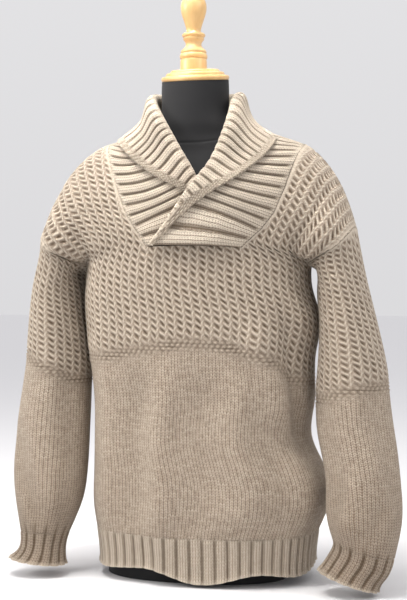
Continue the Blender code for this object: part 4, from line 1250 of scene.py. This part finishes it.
# %% Sections of the collar
COLLAR_COLUMNS = (
    "seam", "root_x", "root_y", "root_z", "fold_x", "fold_y", "fold_z",
    "edge_x", "edge_y", "edge_z", "roll", "sag",
)
COLLAR_SECTIONS = (
    (0.000, -6, -117, 499, 40, -108, 492, 30, -115, 493, 3.2, 0),
    (0.070, -24, -118, 540, 34, -112, 552, 23, -119.5, 550, 3.4, 0),
    (0.140, -36, -115, 578, 20, -110, 600, 0, -118, 579, 3.4, 0),
    (0.210, -66, -98, 622, -7, -97, 643, -46, -116, 604, 5.5, 3),
    (0.275, -86, -56, 664, -36, -77, 693, -95, -90, 641, 7.0, 8),
    (0.340, -78, -8, 688, -56, -44, 725, -119, -32, 665, 6.0, 12),
    (0.420, -58, 26, 696, -50, 12, 735, -93, 56, 663, 6.0, 12),
    (0.500, 2, 44, 700, 2, 36, 738, 2, 82, 652, 6.0, 12),
    (0.580, 60, 26, 696, 51, 12, 734, 99, 56, 663, 6.0, 12),
    (0.660, 82, -8, 688, 55, -30, 722, 127, -34, 660, 6.0, 12),
    (0.725, 98, -60, 664, 58, -70, 684, 125, -88, 636, 7.0, 8),
    (0.790, 95, -102, 618, 46, -102, 626, 92, -121, 601, 5.5, 3),
    (0.860, 80, -124, 574, 22, -126, 589, 46, -137, 571, 3.4, 0),
    (0.930, 58, -130, 537, -8, -128, 546, 3, -135, 538, 2.8, 0),
    (1.000, 30, -131, 497, -44, -127, 498, -36, -132.5, 499, 2.6, 0),
)
print("collar sections", len(COLLAR_SECTIONS))

# %% Neck seam
COLLAR_RIBS = 46
POINTS_A_COLLAR_RIB = 12
COLLAR_PLACES = np.linspace(0, 1, COLLAR_RIBS * POINTS_A_COLLAR_RIB + 1)


def neck_seam():
    """The neck opening's edge on both skins, from the left foot round to the right one."""
    left, right = FRONT_CELLS[0], sum(FRONT_CELLS)
    back_left, back_right = BACK_CELLS[0], sum(BACK_CELLS)
    in_front, behind = panels[True]["above"], panels[False]["above"]
    lines = []
    for skin in ("inner", "outer"):
        front, back = panels[True][skin], panels[False][skin]
        foot = back[int(np.argmax(behind)), back_left + 1: back_right]
        rising = (front[in_front, left], back[behind, back_left][::-1][1:])
        falling = (back[behind, back_right][:-1], front[in_front, right][::-1])
        lines.append(np.concatenate([*rising, foot, *falling]))
    length = run_lengths(lines[0]) / run_lengths(lines[0])[-1]
    return [
        np.stack([np.interp(COLLAR_PLACES, length, line[:, axis]) for axis in range(3)], axis=1)
        for line in lines
    ]


inner_seam, outer_seam = neck_seam()
print("neck edge", round(float(run_lengths(inner_seam)[-1])), "mm round")

# %% Course of the collar
COLLAR_SEAM_GAP = 0.6
COLLAR_BACK_GAP = 2.4
COLLAR_BACK_SHARE = 0.27
COLLAR_GAP_FADE = 0.06
COLLAR_GUIDES = (0.0, 1.0, 2.0, 2.35, 2.7, 3.5, 4.3)
COLLAR_PATH = np.concatenate(
    [[0, 0.06], np.linspace(0.12, 2, 26), np.linspace(2, 2.8, 19)[1:], np.linspace(2.8, 4.3, 28)[1:]]
)
FOLD_ROW = 27
FLAP_LAP = 0.45
NECK_MIDDLE = (0.0, -29.0, 0.0)
RIB_SLOPE = 0.052
ROOT_SLOPE = 0.75


def read_sections():
    """The collar's sections at every place; its ribs slope towards the foot's two ends."""
    sections = table(COLLAR_COLUMNS, COLLAR_SECTIONS)
    from_end = 0.5 - np.abs(COLLAR_PLACES - 0.5)
    slope = smooth_step(from_end / 0.05) * smooth_step((0.30 - from_end) / 0.16)
    shift = np.sign(0.5 - COLLAR_PLACES) * RIB_SLOPE * slope
    read = {}
    for name in COLLAR_COLUMNS[1:]:
        moved = COLLAR_PLACES + shift * (ROOT_SLOPE if name.startswith("root") else 1)
        read[name] = spline(sections["seam"], sections[name], moved)
    lines = [
        np.stack([read[f"{line}_{axis}"] for axis in "xyz"], axis=1) for line in ("root", "fold", "edge")
    ]
    return *lines, read["roll"][:, None], read["sag"][:, None]


def collar_middle():
    """The middle of the collar's cloth from the seam over the fold to the edge, and its normals."""
    root, fold, edge, roll, sag = read_sections()
    middle_seam = (inner_seam + outer_seam) / 2
    end_face = unit(outer_seam - inner_seam)
    inwards = unit(np.cross(unit(np.gradient(middle_seam, axis=0)), end_face))
    inwards *= np.sign(np.sum(inwards * (root - middle_seam), axis=1, keepdims=True))
    behind = smooth_step((COLLAR_BACK_SHARE - np.abs(COLLAR_PLACES - 0.5)) / COLLAR_GAP_FADE)
    gap = COLLAR_SEAM_GAP + (COLLAR_BACK_GAP - COLLAR_SEAM_GAP) * behind
    rise = unit(fold - root)
    away = unit((fold - np.array(NECK_MIDDLE)) * (1, 1, 0))
    away = unit(away - rise * np.sum(away * rise, axis=1, keepdims=True))
    start = fold - rise * roll
    finish = start + away * 2 * roll
    lap = finish + (edge - finish) * FLAP_LAP - away * sag
    seam = middle_seam + inwards * gap[:, None]
    guide = np.array([seam, root, start, fold + away * roll, finish, lap, edge])
    middle = spline(COLLAR_GUIDES, guide, COLLAR_PATH)
    normals = grid_normals(middle)
    normals *= 1 if np.sum(normals[FOLD_ROW] * away, axis=-1).mean() > 0 else -1
    normals[0] = end_face
    return middle, normals


collar_cloth, collar_normals = collar_middle()
print("collar grid", collar_cloth.shape)

# %% Ribs on both faces
COLLAR_RIB_RISE = 3.3
BAND_RIBS_END = 2.5
FLAP_RIBS_START = 2.2
RIB_FADE = 0.6
SEAM_RIB_FADE = 0.12
BORDER_WIDE = 13.0
MOSS_FINER = 1.6


def knit_collar(name):
    """The folded band with ribs on both faces and a bumpy border along its free edge."""
    run = run_lengths(collar_cloth)
    border = smooth_step((BORDER_WIDE - (run[-1] - run)) / 4)
    height = rib_height(COLLAR_PLACES * COLLAR_RIBS)[None]
    on_band = smooth_step((BAND_RIBS_END - COLLAR_PATH) / RIB_FADE)
    on_band = (on_band * smooth_step(COLLAR_PATH / SEAM_RIB_FADE))[:, None]
    on_flap = smooth_step((COLLAR_PATH - FLAP_RIBS_START) / RIB_FADE)[:, None]
    u = np.broadcast_to(COLLAR_PLACES * COLLAR_RIBS * STITCHES_A_RIB * STITCH_WIDE, run.shape)
    bumps = purled(u * MOSS_FINER, run * MOSS_FINER) * 0.75 + 0.1
    face = height + (bumps - height) * border
    lift = 0.5 + COLLAR_RIB_RISE * face
    plain = RIB_FURROW / 2 + COLLAR_RIB_RISE * 0.3
    outer = collar_cloth + collar_normals * (plain + (lift - plain) * on_band)[..., None]
    inner = collar_cloth - collar_normals * (plain + (lift - plain) * on_flap)[..., None]
    # Painted shade in the collar's rib furrows and between its border's bumps.
    marks = {"hollow": (1 - face) * np.maximum(on_band, on_flap), "plain": 1 - border}
    return knit_wall(name, outer, inner, 1, (u, run), marks)


cloth["collar_knit"] = knit_collar("collar_knit")

# %% [markdown]
# ## Dress form and its wood
# The form is a black jersey torso with no limbs.  A seam runs round the foot of its neck.  A
# turned cap sits on the sloping neck, and a turned finial stands on the cap.  All three could be
# boxes rounded by a subdivision modifier, but rings at measured heights keep their true outline.

# %% Closed pieces from rings
def lathe_faces(rows, sides):
    """Quads of a closed stack of rings, with a cap at each end."""
    faces = []
    for i in range(rows - 1):
        for j in range(sides):
            k = (j + 1) % sides
            faces.append((i * sides + j, i * sides + k, (i + 1) * sides + k, (i + 1) * sides + j))
    faces.append(tuple(range(sides))[::-1])
    faces.append(tuple(range((rows - 1) * sides, rows * sides)))
    return faces


def solid_piece(name, rings, sharp):
    """A closed piece from a stack of rings in millimetres; edges over sharp degrees stay crisp."""
    rows, sides = rings.shape[:2]
    mesh = bpy.data.meshes.new(name)
    mesh.from_pydata((rings.reshape(-1, 3) * MM).tolist(), [], lathe_faces(rows, sides))
    mesh.update()
    mesh.shade_smooth()
    mesh.set_sharp_from_angle(angle=math.radians(sharp))
    print(name, "faces", len(mesh.polygons))
    return placed(name, mesh)


# %% Form
FORM_COLUMNS = ("z", "half_width", "front", "back", "squareness")
NECK_TOP_Z = 752.0
FORM_ROWS = (
    (0, 141, -95, 84, 2.4),
    (60, 141, -97, 88, 2.4),
    (150, 131, -94, 86, 2.4),
    (240, 118, -90, 78, 2.3),
    (330, 127, -98, 83, 2.2),
    (430, 141, -109, 88, 2.2),
    (520, 154, -106, 88, 2.2),
    (580, 163, -95, 82, 2.1),
    (618, 167, -86, 68, 1.9),
    (638, 165, -81, 55.5, 1.62),
    (650, 147.5, -80, 45, 1.5),
    (658, 119.5, -80, 38, 1.5),
    (666, 94, -80, 32, 1.6),
    (680, 67, -81, 26, 1.88),
    (700, 53, -81, 23, 2.0),
    (730, 51.5, -80.5, 22.5, 2.0),
    (NECK_TOP_Z, 51, -80, 22, 2.0),
)
NECK_CAP_TILT = math.radians(9.0)
NECK_SEAM_Z = 652.0
NECK_SEAM_CUP = 5.0
FORM_ROWS_UP = np.concatenate([np.linspace(0, 600, 60), np.linspace(605, NECK_TOP_Z, 100)])
FORM_SIDES = 144
CAP_SLOPE_Z = 730.0


def stuff_form(name):
    """The torso and neck, with a pinched seam and a neck that slopes where the cap sits."""
    form = table(FORM_COLUMNS, FORM_ROWS)
    read = {column: spline(form["z"], form[column], FORM_ROWS_UP) for column in FORM_COLUMNS}
    angles = np.linspace(0, 2 * math.pi, FORM_SIDES, endpoint=False)
    rings = []
    for i, z in enumerate(FORM_ROWS_UP):
        cosine, sine = superellipse(angles, read["squareness"][i])
        middle = (read["front"][i] + read["back"][i]) / 2
        half = (read["back"][i] - read["front"][i]) / 2
        x = read["half_width"][i] * cosine
        seam_z = NECK_SEAM_Z + NECK_SEAM_CUP * (x / 50) ** 2
        pinch = 1 - 0.012 * bell(z - seam_z, 1.2)
        ring = np.stack([x * pinch, middle + half * sine * pinch, np.full(len(angles), z)], axis=1)
        slope = smooth_step((z - CAP_SLOPE_Z) / (NECK_TOP_Z - CAP_SLOPE_Z))
        ring[:, 2] += (ring[:, 1] - NECK_MIDDLE[1]) * math.tan(NECK_CAP_TILT) * slope
        rings.append(ring)
    return solid_piece(name, np.array(rings), 60)


form_piece = stuff_form("form_jersey_body")

# %% Turned wood
NECK_CAP = (
    (50.5, 0), (52.0, 2), (52.0, 5), (50.5, 7), (45.0, 7.6), (44.5, 11), (43.0, 12.6),
    (37.5, 13.2), (37.0, 15.5), (35.0, 17), (26.0, 17.6),
)
FINIAL_X = -2.0
FINIAL = (
    (20.4, 0), (20.4, 13.5), (18.6, 14.5), (20.8, 16), (21.2, 19), (20.6, 22), (18.4, 23.2),
    (19.8, 24.5), (19.6, 27.5), (16.5, 30), (12.6, 34), (11.8, 38), (13.0, 41.5), (15.6, 44),
    (16.4, 46.4), (14.6, 47.8), (17.6, 49.5), (18.0, 52), (16.4, 54), (11.6, 55.8),
    (10.8, 58.5), (12.4, 65), (15.2, 74), (18.4, 83), (20.0, 91.5), (19.6, 99),
    (16.8, 106.5), (11.5, 111.8), (5.0, 114),
)
WOOD_SIDES = 96


def softened(profile, times=2):
    """A profile with its corners cut back twice, as sandpaper leaves them."""
    points = np.array(profile, float)
    for _ in range(times):
        quarter = points[:-1] * 0.75 + points[1:] * 0.25
        three = points[:-1] * 0.25 + points[1:] * 0.75
        inner = np.stack([quarter, three], axis=1).reshape(-1, 2)
        points = np.concatenate([points[:1], inner[1:-1], points[-1:]])
    return points


def turn_wood(name, profile, foot, tilt, foot_slope=0.0):
    """A piece turned on a lathe, tilted forwards; foot_slope leans its first ring alone."""
    angles = np.linspace(0, 2 * math.pi, WOOD_SIDES, endpoint=False)
    circle = np.stack([np.cos(angles), np.sin(angles), np.zeros(WOOD_SIDES)], axis=1)
    rings = np.array([circle * radius + (0, 0, height) for radius, height in softened(profile)])
    rings[0][:, 2] += rings[0][:, 1] * math.tan(foot_slope)
    y, z = rings[..., 1].copy(), rings[..., 2].copy()
    rings[..., 1] = y * math.cos(tilt) - z * math.sin(tilt)
    rings[..., 2] = y * math.sin(tilt) + z * math.cos(tilt)
    return solid_piece(name, rings + np.array(foot), 35)


lean = np.array([0, -math.sin(NECK_CAP_TILT), math.cos(NECK_CAP_TILT)])
cap_foot = np.array([0, NECK_MIDDLE[1], NECK_TOP_Z]) + lean * SEAM_GAP
cap_piece = turn_wood("neck_cap_wood", NECK_CAP, cap_foot, NECK_CAP_TILT)
finial_foot = cap_foot + lean * (NECK_CAP[-1][1] + SEAM_GAP) + (FINIAL_X, 0, 0)
finial_piece = turn_wood("finial_wood", FINIAL, finial_foot, 0.0, foot_slope=NECK_CAP_TILT)

# %% [markdown]
# ## Wool
# Each knit stitch is a V of two strands, and the gaps between the strands fall in shade, so the
# finish paints shade into them and a highlight on strands, bars and ridges.  A picture of knitting
# could be laid on the mesh, but it would blur close up.  Shapes worked out from the stitch places
# stay sharp.  Hand-spun oatmeal wool is heathered, so noise at the size of a fibre, a stitch and a
# hand shifts its colour.  Sheen stands for the soft halo of fibres.

# %% One stitch, and the yoke's hollows
STITCH_TALL = 3.9
STITCH_SLANT = 0.75
HAND_WOBBLE = 3.6


def cell_tone(finish, column, row):
    """A number from 0 to 1 that differs from one stitch or repeat to the next."""
    cell = finish.node("ShaderNodeCombineXYZ", (), {0: column.floor(), 1: row.floor()})
    return finish.node("ShaderNodeTexWhiteNoise", {"noise_dimensions": "2D"}, {"Vector": cell}, "Value")


def plain_stitches(finish, u, v, wobble):
    """Strands and valleys between stitches, for painted shade and highlight, and each stitch's own tone."""
    wale = u / (STITCH_WIDE * MM) + wobble * 0.12
    leg = (wale.fract() - 0.5).size() * 2.0
    course = v / (STITCH_TALL * MM) + wobble * 0.45 - leg * STITCH_SLANT
    row = course.fract()
    strand = (leg * math.pi).sine() * 0.35 + (row * math.pi).sine() * 0.65
    valley = ((0.45 - leg) * 2.4).clamped() * (1.0 - row * 0.7)
    return strand, valley, cell_tone(finish, wale, course)


def yoke_stitches(finish, u, v, wobble):
    """The yoke's hollows for painted shade, bars and ridges for painted highlight, and the ridges' lit and
    shaded flanks.
    """
    yoke = finish.mark("yoke")
    repeat = u / (REPEAT_WIDE * MM) + wobble * 0.06
    up = v / (REPEAT_TALL * MM)
    x = repeat.fract()
    run = up + x * (BAR_SLOPE * REPEAT_WIDE / REPEAT_TALL) + repeat.floor() * REPEAT_STEP
    from_hollow = ((run + wobble * 0.12).fract() - 0.5).size()
    in_column = (1.0 - ((x - 0.58).size() * 2.6) ** 2.0).clamped() * yoke
    uneven = cell_tone(finish, repeat, run)
    hollow = (1.0 - from_hollow * 3.2).clamped() * in_column * (0.6 + 0.5 * uneven)
    bar = ((from_hollow - 0.30) * 7.0).clamped() * in_column
    from_ridge = (x + 0.5).fract() - 0.5
    ridge = (1.0 - from_ridge.size() * 9.0).clamped() * yoke
    flank_run = up - from_ridge * (FLANK_SLOPE * REPEAT_WIDE / REPEAT_TALL)
    flank_run = flank_run + (repeat + 0.5).floor() * REPEAT_STEP
    by_ridge = ((0.24 - from_ridge.size()) * 9.0).clamped() * yoke
    flank = (((flank_run.fract() - 0.5).size() * 2.0 - 0.35) * 1.8).clamped() * by_ridge
    return hollow, bar, ridge, flank, (by_ridge - flank).clamped()


print("a stitch is", STITCH_WIDE, "by", STITCH_TALL, "mm")

# %% Knitted wool finish
# HOLLOW_SHADE_BROWN is painted shade, and PAINTED_LIGHT_CREAM and BAR_HIGHLIGHT_CREAM are painted light;
# OATMEAL_LIGHT and OATMEAL_DARK serve both the heather and painted highlight and shade.
OATMEAL = (0.355, 0.277, 0.211, 1)
OATMEAL_LIGHT = (0.60, 0.51, 0.405, 1)
OATMEAL_DARK = (0.185, 0.135, 0.095, 1)
HOLLOW_SHADE_BROWN = (0.098, 0.060, 0.031, 1)
PAINTED_LIGHT_CREAM = (0.89, 0.79, 0.645, 1)
BAR_HIGHLIGHT_CREAM = (0.84, 0.755, 0.62, 1)
LOOSE_FIBRE = (0.93, 0.86, 0.74, 1)
WOOL_SURFACE = {
    "Sheen Weight": 0.18, "Sheen Roughness": 0.5, "Sheen Tint": (0.95, 0.9, 0.82, 1),
    "Specular IOR Level": 0.15,
}


def wool(name, painted_light=0.0):
    """Heathered oatmeal wool; light is a painted light that lifts a whole piece's colour towards cream."""
    finish = Finish(name, 0.92)
    for key, value in WOOL_SURFACE.items():
        finish.set(key, value)
    place = finish.node("ShaderNodeTexCoord", output="Object")
    fibre = finish.noise(place, 520.0, 2.0, 0.7)
    tuft = finish.noise(place, 190.0, 2.0, 0.6)
    patch = finish.noise(place, 9.0, 3.0, 0.55)
    wobble = (finish.noise(place, 60.0, 1.0, 0.5) - 0.5) * HAND_WOBBLE
    stitch_map = finish.node("ShaderNodeUVMap", {"uv_map": "stitches"})
    u, v = (finish.node("ShaderNodeSeparateXYZ", (), {0: stitch_map}, axis) for axis in (0, 1))
    strand, valley, tone = plain_stitches(finish, u, v, wobble)
    yoke_hollow, bar, ridge, flank, ridge_shade = yoke_stitches(finish, u, v, wobble)
    plain = finish.mark("plain")

    washes = (
        (((tuft - 0.5) * 1.1 + 0.5).clamped() * 0.55, OATMEAL_LIGHT),
        (((tone - 0.45) * 1.5).clamped() * (0.25 + 0.25 * plain), OATMEAL_LIGHT),
        (((0.5 - tone) * 1.6).clamped() * (0.22 + 0.22 * plain), OATMEAL_DARK),
        (((0.52 - patch) * 1.4).clamped() * 0.3, OATMEAL_DARK),
        (((fibre - 0.56) * 4.0).clamped() * 0.45, LOOSE_FIBRE),
        # Painted light over the whole piece.
        (painted_light, PAINTED_LIGHT_CREAM),
        # Painted shade that darkens the lower sleeves and the cuffs.
        (finish.mark("dusk"), OATMEAL_DARK),
        # Painted shade between the strands and in the valleys, and a painted highlight on the strand tops.
        (((0.62 - strand) * 2.2).clamped() * (0.38 + 0.3 * plain), OATMEAL_DARK),
        (valley * plain * 0.85, HOLLOW_SHADE_BROWN),
        (((strand - 0.72) * 3.0).clamped() * plain * 0.5, OATMEAL_LIGHT),
        # Painted shade from the mesh's hollow mark: purl rows and rib furrows.
        ((finish.mark("hollow") ** 1.2).clamped() * 0.9, HOLLOW_SHADE_BROWN),
        # Painted shade in the yoke's hollows and on the ridges' flanks, then painted highlight on bars and
        # ridges.
        (ridge_shade * 0.3, OATMEAL_DARK),
        (yoke_hollow ** 0.7 * 0.95, HOLLOW_SHADE_BROWN),
        ((bar * 0.45 + ridge * 0.3 + flank * 0.22).clamped(), BAR_HIGHLIGHT_CREAM),
        # Painted highlight on purl bumps, seam ridges and cast-off edges.
        (finish.mark("chain") * 0.4, PAINTED_LIGHT_CREAM),
    )
    colour = OATMEAL
    for share, wash in washes:
        colour = finish.mix(share, colour, wash)
    finish.set("Base Color", colour)

    height = strand * 0.0012 + fibre * 0.0007 + tuft * 0.0009 + tone * 0.0004
    finish.bump(height + (bar + flank) * 0.0006 - yoke_hollow * 0.0010)
    print(name, "nodes", len(finish.tree.nodes))
    return finish.material


# The same wool three times: ribbed_wool, on the hem, has painted light, and collar_painted_light_wool, lit
# from above, has more.
knit_wool = wool("knit_wool_finish")
ribbed_wool = wool("ribbed_wool_painted_light_finish", 0.33)
collar_painted_light_wool = wool("collar_wool_painted_light_finish", 0.62)

# %% [markdown]
# ## Jersey and wood
# The form's cover is a fine matt jersey, almost black.  The wood is pale and varnished, with long
# grain that the lathe has cut across, so rings show on the flats and streaks on the sides.  One
# noise would look like marble, so it is stretched along the grain and used at two sizes.

# %% Jersey and wood finishes
JERSEY_DARK, JERSEY_PALE = (0.012, 0.012, 0.013, 1), (0.026, 0.025, 0.026, 1)
WOOD_DARK, WOOD_PALE, WOOD_STREAK = (0.60, 0.32, 0.095, 1), (0.90, 0.63, 0.29, 1), (0.52, 0.28, 0.11, 1)
GRAIN_STRETCH = (1.0, 1.0, 0.16)


def jersey(name):
    """Fine black jersey with a faint weave."""
    finish = Finish(name, 0.78)
    finish.set("Sheen Weight", 0.05)
    finish.set("Specular IOR Level", 0.3)
    place = finish.node("ShaderNodeTexCoord", output="Object")
    cloud = finish.noise(place, 14.0, 3.0)
    finish.set("Base Color", finish.mix((cloud - 0.35) * 0.9, JERSEY_DARK, JERSEY_PALE))
    finish.bump(finish.noise(place, 900.0, 1.0) * 0.0004, 0.35)
    return finish.material


def turned_wood(name):
    """Pale varnished wood, its grain stretched along the piece's own axis."""
    finish = Finish(name, 0.34)
    finish.set("Coat Roughness", 0.18)
    finish.set("Coat Weight", 0.35)
    place = finish.node("ShaderNodeTexCoord", output="Object")
    along = finish.node("ShaderNodeVectorMath", {"operation": "MULTIPLY"}, {0: place, 1: GRAIN_STRETCH})
    rings = finish.noise(along, 26.0, 4.0, 0.6)
    streak = finish.noise(along, 140.0, 3.0, 0.65)
    colour = finish.mix((rings - 0.3) * 1.9, WOOD_DARK, WOOD_PALE)
    finish.set("Base Color", finish.mix((streak - 0.5) * 1.2, colour, WOOD_STREAK))
    finish.set("Roughness", 0.30 + streak * 0.16)
    finish.bump(streak * 0.0005, 0.2)
    return finish.material


form_finish = jersey("form_jersey_finish")
wood_finish = turned_wood("turned_wood_finish")
print("finishes", len(bpy.data.materials))

# %% [markdown]
# ## What each piece stands for
# Every fine piece replaces the plain solid of the same part and rides on the one body.  A table lists
# the size each cloth piece was knitted to, laid flat, and what it rests on, but only its finish is
# read here.  One joined mesh would be shorter to write, but then no piece could be changed on its own.

# %% Ride and replace
TORSO, PANELS = ["form_jersey_body"], ["front_knit", "back_knit"]
CUTS = (
    ("front", 0.50, 0.63, 0.27, "hung", TORSO, knit_wool, "knit_wool"),
    ("back", 0.50, 0.65, 0.31, "hung", TORSO, knit_wool, "knit_wool"),
    ("right_sleeve", 0.34, 0.44, None, "hung", PANELS, knit_wool, "knit_wool"),
    ("left_sleeve", 0.34, 0.44, None, "hung", PANELS, knit_wool, "knit_wool"),
    ("right_cuff", 0.23, 0.055, None, "hung", ["right_sleeve_knit"], knit_wool, "ribbed_wool"),
    ("left_cuff", 0.22, 0.055, None, "hung", ["left_sleeve_knit"], knit_wool, "ribbed_wool"),
    ("hem_rib", 0.95, 0.055, None, "hung", PANELS, ribbed_wool, "ribbed_wool"),
    ("collar", 0.72, 0.21, None, "folded", PANELS + TORSO, collar_painted_light_wool, "ribbed_wool"),
)


def stand_for(piece, node, finish):
    """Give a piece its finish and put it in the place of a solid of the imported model."""
    piece.data.materials.append(finish)
    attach(piece, "root")
    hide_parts(node)


for node, wide, long, area, held, rests_on, finish, slot in CUTS:
    piece = cloth[node + "_knit"]
    stand_for(piece, node, finish)
stand_for(form_piece, "form_body", form_finish)
stand_for(cap_piece, "neck_cap", wood_finish)
stand_for(finial_piece, "finial", wood_finish)
